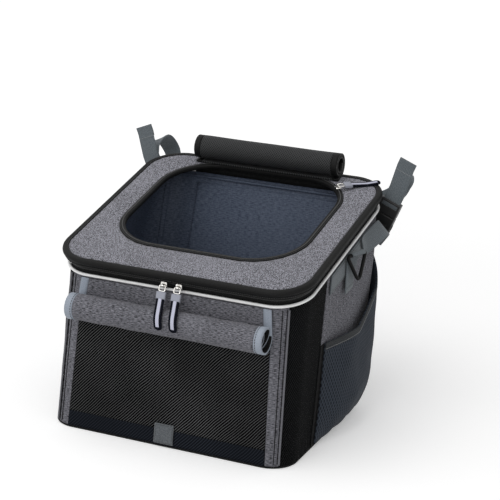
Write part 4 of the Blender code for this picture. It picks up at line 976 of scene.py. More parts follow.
fit(swept("lid_edge_binding", EDGE, FULL, lid_point), "lid", "black_cloth", BINDING_CLOTH)
closed_run = np.append(FULL, WHOLE_TURN)
SEAM_GREY = speckled("gusset_seam", 0.6, 1500.0, grey(0.03), grey(0.09), noise={"space": "Generated"})
LID_ROWS = (("gusset_stitches", 6.8, 14.4, 3, 0.28), ("edge_stitches", 1.6, 24.25, 2.8, 0.22))
for name, grow, rise, pitch, radius in LID_ROWS:
    row = lid_point(closed_run, grow * MM, rise * MM)
    stitches(name, row, rim_up, "lid", pitch * MM, radius * MM, SEAM_GREY)

DIMPLE_DEPTH, DIMPLE_LENGTH = 0.55 * MM, 55 * MM
PULL_IN_DEPTH, PULL_IN_PACE = 0.22 * MM, 1.35
share = np.linspace(0, 1, 26)[:, None, None]
outer = lid_point(FULL, LID_OVERHANG - BORDER_WIDTH - GAP, 0.0)
inner = hole_point(FULL, HOLE_BINDING + GAP, 0.0)
flat = outer + (inner - outer) * share
shoulder = 1 - (2 * share[..., 0] - 1) ** 6
crown = LID_CROWN * np.sin(math.pi * share[..., 0]) * 0.6 + LID_CROWN * 0.4 * shoulder - 0.5 * MM
dimple = DIMPLE_DEPTH * ripple(flat[..., 0], flat[..., 1], DIMPLE_LENGTH, 12) * shoulder
pull_in = PULL_IN_DEPTH * np.sin(np.arange(1.0, len(FULL) + 1) * PULL_IN_PACE) * (1 - shoulder)
panel = flat + (LID_TOP_RISE + crown + dimple + pull_in)[..., None] * rim_up
sheet = fit(surface("lid_cloth", panel, wrap_u=True), "lid", "pale_melange", PALE_MELANGE, "lid_panel")
thicken(sheet, LID_PANEL_THICK - SOFT_GAP, lining=BLACK_WEAVE)

OPENING_BINDING = np.array((
    (0.3, -4.6), (0, -3.6), (0, -0.4), (0.5, 0.6), (1.8, 1.15), (4, 1.2),
    (6.2, 1.1), (7.5, 0.5), (8, -0.4), (8, -4.2), (7.6, -4.8),
)) * MM + (0, LID_TOP_RISE)
binding = swept("opening_binding", OPENING_BINDING, FULL, hole_point)
fit(binding, "lid", "black_cloth", BINDING_CLOTH, "lid_opening_binding")
DOOR_TOOTH = TOOTH * (0.7, 0.6, 0.35)
DOOR_TOOTH_PITCH = 1.6 * MM
centres, along = evenly(hole_point(closed_run, 4.2 * MM, LID_TOP_RISE + 1.25 * MM), DOOR_TOOTH_PITCH)
up = np.broadcast_to(rim_up, along.shape)
coil = repeated("door_zip_coil", centres, along, up, DOOR_TOOTH, TOOTH_FACES)
fit(coil, "lid", "black_plastic", SEAM_GREY)
row = hole_point(closed_run, 6.9 * MM, LID_TOP_RISE + 0.95 * MM)
stitches("opening_stitches", row, rim_up, "lid", 2.8 * MM, 0.2 * MM, SEAM_GREY)
wire_grow = LID_OVERHANG - BORDER_WIDTH - GAP - LID_WIRE_RADIUS
wire_rise = LID_TOP_RISE - LID_PANEL_THICK - GAP - LID_WIRE_RADIUS
hem = cord_round("lid_hem", lid_point(FULL, wire_grow, wire_rise), LID_HEM_RADIUS, closed=True)
fit(hem, "lid", "black_cloth", BLACK_WEAVE, "lid_wire")


# Rolls: the lid's mesh door and the front flap are wound up on themselves. Each sheet lies flat
# for its first stretch and then runs inwards on a spiral, with a sewn binding along each side. The
# flap's inner turns stand back from its ends, which look hollow. On the flap and its tapes, the
# side of each wound turn that faces the core is black cloth: painted shade inside the roll.

MESH_ROLL_RADIUS = 17.5 * MM
MESH_ROLL_PITCH = 4 * MM
MESH_ROLL_SHEET = 2.6 * MM
MESH_ROLL_TURNS = 2.25
MESH_ROLL_HALF = 108 * MM
MESH_ROLL_PLACE = 306 * MM
MESH_ROLL_TAIL = 11 * MM
ROLL_HEM = 9 * MM
FLAP_SHEET = 2.2 * MM
FLAP_HEM_SHEET = 2.7 * MM
FLAP_PITCH = 3.6 * MM
FLAP_RADIUS = 18 * MM
FLAP_TURNS = 2.4
FLAP_ROLL_DROP = 37 * MM
FLAP_TOP_DROP = 4.5 * MM
FLAP_TOP_HALF = 134 * MM
FLAP_ROLL_HALF = 138 * MM
FLAP_HEM = 11 * MM
FLAP_RECESS = 8 * MM
FLAP_RECESS_TURNS = (0.85, 1.2)


def wound(centre, back, down, radius, pitch, turns):
    """A spiral from centre + back towards down, closer to the centre by a pitch for each turn."""
    turned = np.linspace(0, turns, int(turns * 56))[:, None]
    reach = radius - pitch * turned
    return centre + (back * np.cos(2 * math.pi * turned) + down * np.sin(2 * math.pi * turned)) * reach


def rolled(
    name, path, lefts, rights, thickness, material, body, slot, node, seed=1, slack=0.5 * MM,
    dark_from=None,
):
    """From the given station on, the side that faces the roll's core is black cloth: painted shade inside
    the roll.
    """
    count = max(int(np.max(rights - lefts) / (2.6 * MM)), 4)
    share = np.linspace(0, 1, count)
    x = lefts[:, None] + (rights - lefts)[:, None] * share
    along = tangents(path)
    face = np.cross(along, np.array([1.0, 0, 0]))
    length = travelled(path)[:, None]
    loose = slack * ripple(x, length + 0 * x, 70 * MM, seed) * np.minimum(length / (40 * MM), 1)
    grid = path[:, None] + face[:, None] * loose[..., None]
    grid[..., 0] = x
    piece = thicken(fit(surface(name, grid), body, slot, material, node), thickness, offset=0)
    # Painted shade: the core side of the wound turns gets black cloth, darker than the sheet's own colour.
    if dark_from:
        piece.data.materials.append(material)
        piece.data.materials.append(BLACK_WEAVE)
        painted_shade_faces = np.repeat(np.arange(len(path) - 1) >= dark_from, count - 1)
        piece.data.polygons.foreach_set("material_index", painted_shade_faces.astype(np.int32))
        piece.modifiers["thickness"].material_offset = 1
    return piece


def bindings(name, path, half, inner, thickness, material, body, slot, node, **more):
    """The binding along each side of a rolled sheet, from the sheet's edge out to half."""
    return [
        rolled(name + end, path, first, last, thickness, material, body, slot, node + end, slack=0, **more)
        for end, first, last in (("left", -half, -inner - GAP), ("right", inner + GAP, half))
    ]


MESH_HEM_SHEET = MESH_ROLL_SHEET + GAP
lying = LID_TOP_RISE + BINDING_PROUD + GAP + MESH_HEM_SHEET / 2
backwards = rim_point(0, 1.0) - rim_point(0, 0)
seat = rim_point(0, MESH_ROLL_PLACE, lying)
core = seat + rim_up * MESH_ROLL_RADIUS
spiral = wound(core, -rim_up, backwards, MESH_ROLL_RADIUS, MESH_ROLL_PITCH, MESH_ROLL_TURNS)
flat = seat - backwards * np.linspace(MESH_ROLL_TAIL, 0.6 * MM, 8)[:, None]
path = np.concatenate([flat, spiral])
ROLLED_NET, wire, sockets = finish("rolled_net", 0.6, Specular_IOR_Level=0.15)
ROLLED_CELL = 3.6 * MM
x, y = wire.flat()
cell = (((x + y) / ROLLED_CELL).wave() * ((x - y) / ROLLED_CELL).wave()).step(0.1, 0.5)
join(cell.mix(grey(0.05, 0.003), grey(0.002)), sockets["Base Color"])
relief(1 - cell, 0.5 * MM, sockets)
half = np.full(len(path), MESH_ROLL_HALF)
inner = half - ROLL_HEM
door = rolled(
    "mesh_door_roll", path, -inner, inner, MESH_ROLL_SHEET, ROLLED_NET, "lid", "black_mesh",
    "top_mesh_roll", seed=13,
)
hems = bindings(
    "mesh_door_hem_", path, half, inner, MESH_HEM_SHEET, BINDING_CLOTH, "lid", "black_cloth",
    "top_mesh_hem_",
)
size = (2 * inner[0], float(travelled(path)[-1]))


def flap_point(drop):
    return wall_point(0.0, 1 - drop / wall_height(0.0), SOFT_GAP + FLAP_HEM_SHEET / 2)


REFLECTIVE = woven(
    "reflective_tape", (0.24, 0.28, 0.34, 1), (0.42, 0.46, 0.53, 1), thread=0.8 * MM, slub=1.6 * MM,
    roughness=0.5, contrast=2.5, weft=0.5,
)
arrive = flap_point(FLAP_ROLL_DROP)
flap_centre = arrive - np.array([0, FLAP_RADIUS, 0])
hang = flap_point(FLAP_TOP_DROP) + (arrive - flap_point(FLAP_TOP_DROP)) * np.linspace(0, 0.98, 12)[:, None]
BACK, DOWN = np.array([0, 1.0, 0]), np.array([0, 0, -1.0])
spiral = wound(flap_centre, BACK, DOWN, FLAP_RADIUS, FLAP_PITCH, FLAP_TURNS)
path = np.concatenate([hang, spiral])
half = np.interp(np.arange(len(path)), [0, len(hang)], [FLAP_TOP_HALF, FLAP_ROLL_HALF])
turned = (np.arange(len(path)) - len(hang)) / (len(spiral) / FLAP_TURNS)
half = half - FLAP_RECESS * np.interp(turned, FLAP_RECESS_TURNS, (0, 1))
inner = half - FLAP_HEM
# The flap and its tapes take black cloth as painted shade on the core side of their wound turns.
flap = rolled(
    "flap_roll", path, -inner, inner, FLAP_SHEET, MELANGE, "basket", "grey_melange", "front_flap", seed=14,
    slack=0.6 * MM, dark_from=len(hang),
)
tapes = bindings(
    "flap_tape_", path, half, inner, FLAP_HEM_SHEET, REFLECTIVE, "basket", "reflective_grey",
    "front_flap_binding_", dark_from=len(hang),
)
size = (2 * float(np.mean(inner)), float(travelled(path)[-1]))
STITCH_STAND = 0.05 * MM
outwards = path + np.cross(tangents(path), [1.0, 0, 0]) * -(FLAP_HEM_SHEET / 2 + STITCH_STAND)
DARK_THREAD = speckled("dark_thread", 0.6, 1500.0, grey(0.015), grey(0.06), noise={"space": "Generated"})
SEEN_SHARE = 0.45
for name, side in SIDES.items():
    row = outwards[:int(len(path) * SEEN_SHARE)].copy()
    row[:, 0] = side * (inner + 2.4 * MM)[:len(row)]
    out = np.array([0, -1.0, 0.2])
    stitches("flap_stitches_" + name, row, out, "basket", 3.6 * MM, 0.5 * MM, DARK_THREAD)


# Closing patch: the square of loop tape at the foot of the window, sewn on round its edge, where
# the flap's lower edge sticks when it is let down.

TAB_WIDTH = 25 * MM
TAB_FOOT = 2 * MM
TAB_HEIGHT = 26 * MM
TAB_THICK = 1.8 * MM
TAB_ROW_SHARE = 0.88
patch_edge = TAB_WIDTH / 2 / STRETCHES[0]
LOOP_TAPE = speckled(
    "loop_tape", 0.95, 900.0, grey(0.04, 0.01), grey(0.17, 0.035), 0.7 * MM, (0.3, 0.7),
    noise={"Detail": 4.0, "Roughness": 0.75}, Sheen_Weight=0.4,
)
heights = (TAB_FOOT / FRONT_TALL, (TAB_FOOT + TAB_HEIGHT) / FRONT_TALL)
sewn_in(
    "closing_patch", (-patch_edge, patch_edge), heights, "webbing", LOOP_TAPE, TAB_THICK,
    "window_closing_tab", out=SOFT_GAP + TAB_THICK, spacing=1.2 * MM, pucker=0, swell=0.2 * MM,
)
corners = np.array([*SQUARE, SQUARE[0]]) * TAB_ROW_SHARE
across, upwards = (np.interp(np.arange(0, 4.01, 0.05), np.arange(5), corners[:, k]) for k in range(2))
height = (TAB_FOOT + TAB_HEIGHT * (upwards + 1) / 2) / FRONT_TALL
row = wall_point(across * patch_edge, height, SOFT_GAP + TAB_THICK + STITCH_STAND)
stitches("patch_stitches", row, np.array([0, -1.0, 0]), "basket", 2.4 * MM, 0.25 * MM, DARK_THREAD)


# Zip sliders: a nickel-plated body with a bridge, a bright square ring through the bridge and a
# pull of black rubber with a pale stripe, held in a short grey sleeve. Two sit on the main zip.

SLIDER_PLATE = 2 * MM
SLIDER_HALF = 4.5 * MM
EYE_OUT = 4.6 * MM
EYE_LENGTH = 3 * MM
RING_WIRE = 0.9 * MM
RING_WIDTH = 8.4 * MM
RING_DROP = 8.2 * MM
SLEEVE_WIDTH = 13 * MM
SLEEVE_HEIGHT = 10 * MM
SLEEVE_THICK = 5 * MM
TONGUE_WIDTH = 11 * MM
TONGUE_LENGTH = 41 * MM
TONGUE_THICK = 2.8 * MM
STRIPE_WIDTH = 4.6 * MM
STRIPE_THICK = 0.8 * MM
STRIPE_SHORT = 6
TIP_WIDTH_SHARE = 0.3
TIP_THICK_SHARE = 0.55
PULL_LEAN = 0.2
FRONT_SLIDER_SPACING = 21 * MM
FRONT_SLIDER_SHIFT = -2 * MM
FRONT_SLIDER_GROW = 5.4 * MM
FRONT_SLIDER_RISE = 7.6 * MM
TOP_SLIDER_ANGLE = math.radians(38)
TOP_SLIDER_GROW = 4 * MM
STEM_LENGTH = 4.2 * MM
TOP_STEM_LENGTH = 2.4 * MM

PALE_NICKEL, WORN_NICKEL = (0.8, 0.79, 0.77, 1), (0.62, 0.6, 0.57, 1)
NICKEL = speckled(
    "nickel", 0.22, 260.0, WORN_NICKEL, PALE_NICKEL, limits=(0.35, 0.65), gloss=(0.25, 0.1),
    noise={"Detail": 4.0}, metallic=1,
)
RUBBER = speckled(
    "pull_rubber", 0.6, 900.0, (0.001, 0.0015, 0.004, 1), (0.004, 0.005, 0.01, 1), 0.15 * MM,
    noise={"Detail": 3.0}, Specular_IOR_Level=0.05,
)
PLAIN = {"thread": 0.8 * MM, "slub": 1 * MM, "contrast": 2}
SLEEVE = woven("pull_sleeve", (0.29, 0.3, 0.35, 1), (0.4, 0.415, 0.48, 1), **PLAIN)
STRIPE = woven("pull_stripe", (0.47, 0.475, 0.58, 1), (0.64, 0.65, 0.78, 1), **PLAIN)
SECTION_CORNERS = 20


def squircle(angle, power):
    """Cosine and sine, each with its size raised to a power: a circle at 1, nearly a square at 0."""
    return tuple(np.sign(part) * np.abs(part) ** power for part in (np.cos(angle), np.sin(angle)))


def strap(name, path, across, thickness, corner=0.3):
    """A flat band: a rounded section carried along a path. across is its half width at each point."""
    across = np.broadcast_to(across, path.shape)
    half = np.linalg.norm(across, axis=1)
    wide = across / half[:, None]
    face = unit(np.cross(tangents(path), wide))
    angle = np.linspace(0, 2 * math.pi, SECTION_CORNERS, endpoint=False) + math.pi / SECTION_CORNERS
    x, y = squircle(angle, corner)
    thick = np.broadcast_to(thickness, half.shape) / 2
    sideways = wide[:, None] * (x * half[:, None])[..., None]
    grid = path[:, None] + sideways + face[:, None] * (y * thick[:, None])[..., None]
    return outward(surface(name, grid, wrap_u=True, caps=True))


def placed_box(name, low, high, origin, axes, bevel):
    """A box between two corners in millimetres, its edges rounded. The rows of axes are its directions."""
    share = (np.array([(x, y, z) for z in (-1, 1) for x, y in SQUARE]) + 1) / 2
    corners = (np.array(low) * (1 - share) + np.array(high) * share) * MM
    piece = outward(solid(name, origin + corners @ axes, [list(face) for face in TOOTH_FACES]))
    rounded = piece.modifiers.new("edges", "BEVEL")
    rounded.width = bevel * MM
    rounded.segments = 3
    return piece


PLATE_ROWS = ((0.86, 0.0), (1, 0.25), (1, 1.5), (0.86, 2.0), (0.5, 2.15))
BRIDGE_HALF = 1.85 * MM
BRIDGE_FOOT = 0.6 * MM
WAIST_SHARES = (0.16, 0.1)


def slider(name, origin, axes, stem, body, node):
    """Plate with a waist, a bridge over it and a stem behind it, in the slider's own directions."""
    angle = np.linspace(0, 2 * math.pi, 40, endpoint=False)
    waist = 1 - WAIST_SHARES[0] * np.cos(2 * angle) ** 2 - WAIST_SHARES[1] * np.sin(angle)
    x, z = squircle(angle, 0.5)
    x, z = x * SLIDER_HALF, z * SLIDER_HALF * waist
    rows = [np.stack([x * share, np.full_like(x, y * MM), z * share], -1) for share, y in PLATE_ROWS]
    plate = outward(surface(name + "_plate", origin + np.stack(rows) @ axes, wrap_u=True, caps=True))
    turned = np.linspace(0, math.pi, 24)
    arch_out = SLIDER_PLATE + (EYE_OUT - 0.5 * MM) * np.sin(turned) ** 0.8
    arch_up = -BRIDGE_HALF * np.cos(turned) * (1 - 0.1 * np.sin(turned))
    arch = np.stack([0 * turned, arch_out, arch_up], -1)
    arch = np.concatenate([[(0, BRIDGE_FOOT, -BRIDGE_HALF)], arch, [(0, BRIDGE_FOOT, BRIDGE_HALF)]])
    bridge = strap(name + "_bridge", origin + arch @ axes, axes[0] * EYE_LENGTH / 2, 1.0 * MM, corner=0.5)
    half = EYE_LENGTH / 2 / MM
    back = placed_box(name + "_stem", (-half, -stem / MM, -0.9), (half, 0.5, 0.9), origin, axes, 0.3)
    fit(plate, body, "silver", NICKEL, node)
    fit(bridge, body, "silver", NICKEL)
    fit(back, body, "silver", NICKEL)
    return origin + axes[1] * (SLIDER_PLATE + EYE_OUT / 2)


def ring_and_pull(names, route, outside, across, body):
    """A square ring in the bridge's eye; from it a sleeve, a tongue and a stripe follow one route.

    The route gives the point at a distance from the eye. The ring is a superellipse that hangs from
    its top bar. The tongue narrows to its tip as a circle does.
    """
    piece_name, ring_node, name = names
    eye = route(0.0)
    fall = unit(route(RING_DROP) - eye)
    x, y = squircle(np.linspace(0, 2 * math.pi, 72, endpoint=False), 0.42)
    wire_path = eye + across * x[:, None] * RING_WIDTH / 2 + fall * (y[:, None] + 1) * RING_DROP / 2
    fit(cord_round(piece_name, wire_path, RING_WIRE, closed=True), body, "silver", NICKEL, ring_node)
    start = RING_DROP + RING_WIRE + GAP
    spots = np.linspace(0, SLEEVE_HEIGHT, 14)
    ease = 1 - 0.35 * (np.abs(spots / SLEEVE_HEIGHT * 2 - 1)) ** 8
    path = np.array([route(start + spot) for spot in spots])
    sleeve = strap(name + "_sleeve", path, across * SLEEVE_WIDTH / 2, SLEEVE_THICK * ease, corner=0.35)
    spots = np.linspace(SLEEVE_HEIGHT - 1 * MM, SLEEVE_HEIGHT + TONGUE_LENGTH, 60)
    path = np.array([route(start + spot) for spot in spots])
    left = np.clip((SLEEVE_HEIGHT + TONGUE_LENGTH - spots) / (TONGUE_WIDTH / 2), 0, 1)
    width = TONGUE_WIDTH / 2 * (TIP_WIDTH_SHARE + (1 - TIP_WIDTH_SHARE) * np.sqrt(1 - (1 - left) ** 2))
    thick = TONGUE_THICK * (TIP_THICK_SHARE + (1 - TIP_THICK_SHARE) * left**0.5)
    tongue = strap(name + "_tongue", path, across * width[:, None], thick, corner=0.35)
    face = np.cross(tangents(path), across)
    face *= np.sign(face @ outside)[:, None]
    path = (path + face * (TONGUE_THICK / 2 - 0.1 * MM))[:-STRIPE_SHORT]
    stripe = strap(name + "_stripe", path, across * STRIPE_WIDTH / 2, STRIPE_THICK, corner=0.5)
    fit(sleeve, body, "webbing", SLEEVE)
    fit(stripe, body, "webbing", STRIPE)
    fit(tongue, body, "webbing", RUBBER, name)


about_roll = FLAP_RADIUS + FLAP_SHEET / 2 + SOFT_GAP + TONGUE_THICK / 2
RIGHTWARDS = np.array([1.0, 0, 0])
for name, side in SIDES.items():
    shift = FRONT_SLIDER_SHIFT + side * FRONT_SLIDER_SPACING / 2
    origin = rim_point(shift, -FRONT_SLIDER_GROW, FRONT_SLIDER_RISE)
    body = "zip_slider_" + name
    eye = slider("slider_" + name, origin, np.array([RIGHTWARDS, -BACK, DOWN]), STEM_LENGTH, body, body)
    away = (flap_centre - eye)[1:]
    straight = math.sqrt(away @ away - about_roll**2)
    angle = math.atan2(away[1], away[0]) - math.atan2(about_roll, straight)

    def over_roll(distance, eye=eye, away=away, straight=straight, angle=angle):
        """Straight to the flap's roll, then round it at a steady reach, drifting to the right."""
        if distance < straight:
            y, z = distance * math.cos(angle), distance * math.sin(angle)
        else:
            turned = angle - math.pi / 2 + (distance - straight) / about_roll
            y, z = away[0] + about_roll * math.cos(turned), away[1] + about_roll * math.sin(turned)
        return eye + (PULL_LEAN * distance, y, z)

    names = ("pull_ring_" + name, "zip_%s_ring" % name, "zip_%s_pull" % name)
    ring_and_pull(names, over_roll, np.array([0, -1.0, 0.3]), RIGHTWARDS, "zip_pull_" + name)

reach = HOLE_RADIUS + TOP_SLIDER_GROW
over_x, over_y = math.cos(TOP_SLIDER_ANGLE), math.sin(TOP_SLIDER_ANGLE)
rise = LID_TOP_RISE + BINDING_PROUD + GAP + TOP_STEM_LENGTH
corner_x, corner_y = HOLE_WIDTH / 2 - HOLE_RADIUS, HOLE_REAR - HOLE_RADIUS
origin = rim_point(corner_x + reach * over_x, corner_y + reach * over_y, rise)
away = rim_point(over_x, over_y) - rim_point(0, 0)
zip_way = unit(np.cross(away, rim_up))
axes = np.array([zip_way, rim_up, np.cross(zip_way, rim_up)])
top_eye = slider("slider_top", origin, axes, TOP_STEM_LENGTH, "top_slider", "top_zip_slider")
sink = (rise + SLIDER_PLATE + EYE_OUT / 2 - LID_TOP_RISE - SOFT_GAP - TONGUE_THICK / 2) / TONGUE_LENGTH


def over_panel(distance):
    """Outwards from the opening's corner, sinking evenly on to the lid."""
    return top_eye + away * distance - rim_up * sink * max(min(distance, TONGUE_LENGTH), 0)


ring_and_pull(("pull_ring_top", "top_zip_ring", "top_zip_pull"), over_panel, rim_up, zip_way, "top_pull")


# Side webbing: a band of ribbed 25 mm webbing sewn along the rim, and over it a tab looped round
# the bar of a black moulded D-ring for a carrying strap.

WEB_WIDTH = 25 * MM
WEB_THICK = 1.8 * MM
BAND_DROP = 9 * MM
BAND_START = 2.28
BAND_END = 2.8
RING_TAB_PLACE = 2.555
RING_TAB_STEP = 0.05
RING_TAB_FOOT = 57 * MM
RING_TAB_HEAD = 8 * MM
RING_TAB_YAW = math.radians(20)
D_RING_WIRE = 2.1 * MM
D_RING_SHOWN = 2.45 * MM
D_RING_WIDTH = 33 * MM
D_RING_HEIGHT = 34 * MM
D_RING_POINT = 7 * MM
D_RING_STAND = 5.2 * MM
D_RING_TILT = math.radians(6)
TAB_CLEAR_SHARE = 0.8

WEBBING, wire, sockets = finish("webbing", 0.7, Sheen_Weight=0.2, Specular_IOR_Level=0.35)
x, y = wire.flat()
rib = (y / (1.5 * MM)).wave()
cord_line = (x / (2.1 * MM) + rib * 0.25).wave()
blur = wire.noise(600.0, "UV")
tone = (rib * 0.45 + cord_line * 0.3 + (blur - 0.5) * 1.3 + 0.1).clamp()
join(tone.mix((0.06, 0.07, 0.078, 1), (0.185, 0.215, 0.235, 1)), sockets["Base Color"])
relief(rib * 0.6 + cord_line * 0.4, 0.25 * MM, sockets)
MOULDED = speckled(
    "moulded_plastic", 0.32, 1100.0, grey(0.006), grey(0.016), 0.08 * MM, gloss=(0.3, 0.25),
    noise={"Detail": 3.0}, Specular_IOR_Level=0.5,
)
DARK_RING = speckled("ring_plastic", 0.45, 1100.0, grey(0.0015), grey(0.005), Specular_IOR_Level=0.12)
SEWN_PROUD = WEB_THICK / 2 + 0.15 * MM


def smooth_path(points, steps):
    """A curve through every point, steps to a span: on each, a cubic of its four nearest points."""
    points = np.asarray(points)
    padded = np.concatenate([[2 * points[0] - points[1]], points, [2 * points[-1] - points[-2]]])
    a, b, c, d = (padded[k:len(padded) - 3 + k, None] for k in range(4))
    t = np.linspace(0, 1, steps, endpoint=False)[:, None]
    curve = (2 * b + (c - a) * t + (2 * a - 5 * b + 4 * c - d) * t**2 + (3 * b - a - 3 * c + d) * t**3) / 2
    return np.concatenate([curve.reshape(-1, 3), points[-1:]])


for name, side in SIDES.items():
    places = run(*sided(BAND_START, BAND_END, side), 3 * MM)
    tall = wall_height(places)
    shares = 1 - (BAND_DROP + WEB_WIDTH / 2) / tall
    lift = SOFT_GAP + WEB_THICK / 2
    out = RIGHTWARDS * side
    path = wall_point(places, shares, lift)
    share = WEB_WIDTH / 2 / tall
    half = (wall_point(places, shares + share, lift) - wall_point(places, shares - share, lift)) / 2
    band = strap("side_webbing_" + name, path, half, WEB_THICK)
    fit(band, "basket", "webbing", WEBBING, "side_band_" + name)
    for edge_share, edge_name in ((0.8, "upper"), (-0.8, "lower")):
        row = path + half * edge_share + out * (WEB_THICK / 2 + 0.1 * MM)
        row_name = "band_stitches_%s_%s" % (edge_name, name)
        stitches(row_name, row, out, "basket", 2.8 * MM, 0.25 * MM, DARK_THREAD)

    place = mirrored(RING_TAB_PLACE, side)
    tall = float(wall_height(place))
    lying = 2 * SOFT_GAP + WEB_THICK * 1.5
    shares = 1 - (RING_TAB_FOOT + (RING_TAB_HEAD - RING_TAB_FOOT) * np.arange(4) / 3) / tall
    path = list(wall_point(place, shares, lying))
    step = side * RING_TAB_STEP
    wall_way = unit(wall_point(place + step, shares[0]) - wall_point(place - step, shares[0]))
    bar_way = np.array([side * math.sin(RING_TAB_YAW), math.cos(RING_TAB_YAW), 0])
    up = unit(path[-1] - path[0])
    loop = D_RING_WIRE + SOFT_GAP + WEB_THICK / 2
    centre = path[-1] + out * (loop + D_RING_STAND)
    path[-1] = path[-1] - up * loop
    turns = np.array([0, 0.2, 0.5, 0.8])
    ways = [unit(wall_way + (bar_way - wall_way) * turned) for turned in turns]
    yawed = math.sin(RING_TAB_YAW) * WEB_WIDTH / 2
    path = [point + out * (turned * yawed + GAP) for point, turned in zip(path, turns)]
    for angle in np.linspace(0, math.pi * (TAB_CLEAR_SHARE + 0.5), 9) - math.pi * 0.25:
        path.append(centre - out * math.cos(angle) * loop + up * math.sin(angle) * loop)
        ways.append(bar_way)
    fine = smooth_path(path, 5)
    way = unit(smooth_path(ways, 5))
    tab = strap("ring_tab_" + name, fine, way * WEB_WIDTH / 2, WEB_THICK)
    fit(tab, "basket", "webbing", WEBBING, "d_ring_tab_" + name)
    sewn = fine[2] + way[2] * np.linspace(-0.42, 0.42, 9)[:, None] * WEB_WIDTH + out * SEWN_PROUD
    stitches("tab_stitches_" + name, sewn, out, "basket", 2.4 * MM, 0.25 * MM, DARK_THREAD)

    bar = bar_way * D_RING_WIDTH / 2
    point = np.array([side * math.sin(D_RING_TILT), 0, -math.cos(D_RING_TILT)]) * D_RING_HEIGHT
    tip = bar_way * D_RING_POINT / 2
    drop = np.array([0, 0, -D_RING_POINT])
    corners = np.array([
        centre - bar, centre, centre + bar, centre + bar + drop / 2, centre + tip + point - drop / 2,
        centre + point, centre - tip + point - drop / 2, centre - bar + drop / 2,
    ])
    ring_path = np.concatenate([corners, corners[:1]])
    ring_path = spots_on(ring_path, np.linspace(0, travelled(ring_path)[-1], 120, endpoint=False))
    for smoothing in range(3):
        ring_path = (np.roll(ring_path, 1, 0) + 2 * ring_path + np.roll(ring_path, -1, 0)) / 4
    ring = cord_round("ring_moulding_" + name, ring_path, D_RING_SHOWN, closed=True, sides=16)
    fit(ring, "d_ring_" + name, "black_plastic", DARK_RING, "d_ring_" + name)


# Hanging straps: webbing comes up from the side band through a side-release buckle, bends over in a
# wide loop and is sewn to the back. The free end stands up from the buckle, its tip folded.

RIM_REAR_Y = RIM_FRONT_Y + RIM_DEPTH * math.cos(RIM_SLOPE)
RIM_REAR_Z = FRONT_HEIGHT + RIM_DEPTH * math.sin(RIM_SLOPE)
FEMALE_LENGTH = 33 * MM
MALE_LENGTH = 22 * MM
STRAP_FORWARD = 1.2 * MM
BUCKLE_INSET = 5.1 * MM
BUCKLE_FOOT_IN = 8.3 * MM
BUCKLE_HEAD_OUT = 12.2 * MM
BUCKLE_FOOT_DROP = 51.9 * MM
BUCKLE_HEAD_DROP = 1.7 * MM
BUCKLE_TRAVEL = 17 * MM
TAIL_LENGTH = 84 * MM
TAIL_DRIFT = 4 * MM
TAIL_DRIFT_START = 0.48
TAIL_DRIFT_SPAN = 0.4
TAIL_FOLD_STATIONS = 13
BAR_OUT = 17 * MM
BAR_BEHIND = 26.9 * MM
BAR_RISE = 16.1 * MM
BAR_RADIUS = 18 * MM
ANCHOR_START_IN = 49 * MM
ANCHOR_END_IN = 69 * MM
ANCHOR_START_SHARE = 0.92
ANCHOR_END_SHARE = 0.85
LOWER_STRAP_LEAD = 0.05
LOWER_STRAP_CORNER = 3.1
LOWER_STRAP_OUT = 11.5 * MM
LOWER_STRAP_DIP = 10 * MM
FINE_STEPS = 14
TWIST_SHARE = 0.8


def from_rear_corner(side, out, behind, rise):
    """A point measured from the rim's rear corner on this side."""
    return np.array([side * (BODY_WIDTH / 2 + out), RIM_REAR_Y + behind, RIM_REAR_Z + rise])


def twisted(name, path, first, last, straight=0.0):
    """Webbing whose width turns evenly from one direction to another after a straight share."""
    length = np.linspace(0, 1, len(path))
    share = np.clip((length - straight) / (1 - straight) / TWIST_SHARE, 0, 1)[:, None]
    along = tangents(path)
    way = first + (last - first) * share
    way = way - along * np.sum(way * along, axis=1, keepdims=True)
    return strap(name, path, unit(way) * WEB_WIDTH / 2, WEB_THICK)


MALE_FOOT = FEMALE_LENGTH + GAP
MALE_TOP = (MALE_FOOT + MALE_LENGTH) / MM
PLASTIC = ("black_plastic", MOULDED)
BUCKLE_TRIM = (
    ("fold", "male", ("webbing", WEBBING), (-11.5, 4.7, MALE_TOP - 9), (11.5, 6, MALE_TOP - 3.6), 0.5),
    ("rib_0", "male", PLASTIC, (-11, 4.8, MALE_TOP - 2.8), (11, 5.5, MALE_TOP - 1.6), 0.3),
    ("rib_1", "male", PLASTIC, (-11, 4.8, MALE_TOP - 10.4), (11, 5.5, MALE_TOP - 9.2), 0.3),
    ("panel", "female", PLASTIC, (-8, 4.8, 4), (8, 5.4, 20), 0.4),
    ("prong_inner", "male", PLASTIC, (-15.6, -3.3, 14.5), (-12.4, -1, 22.5), 0.9),
    ("prong_outer", "male", PLASTIC, (12.4, -3.3, 14.5), (15.6, -1, 22.5), 0.9),
)

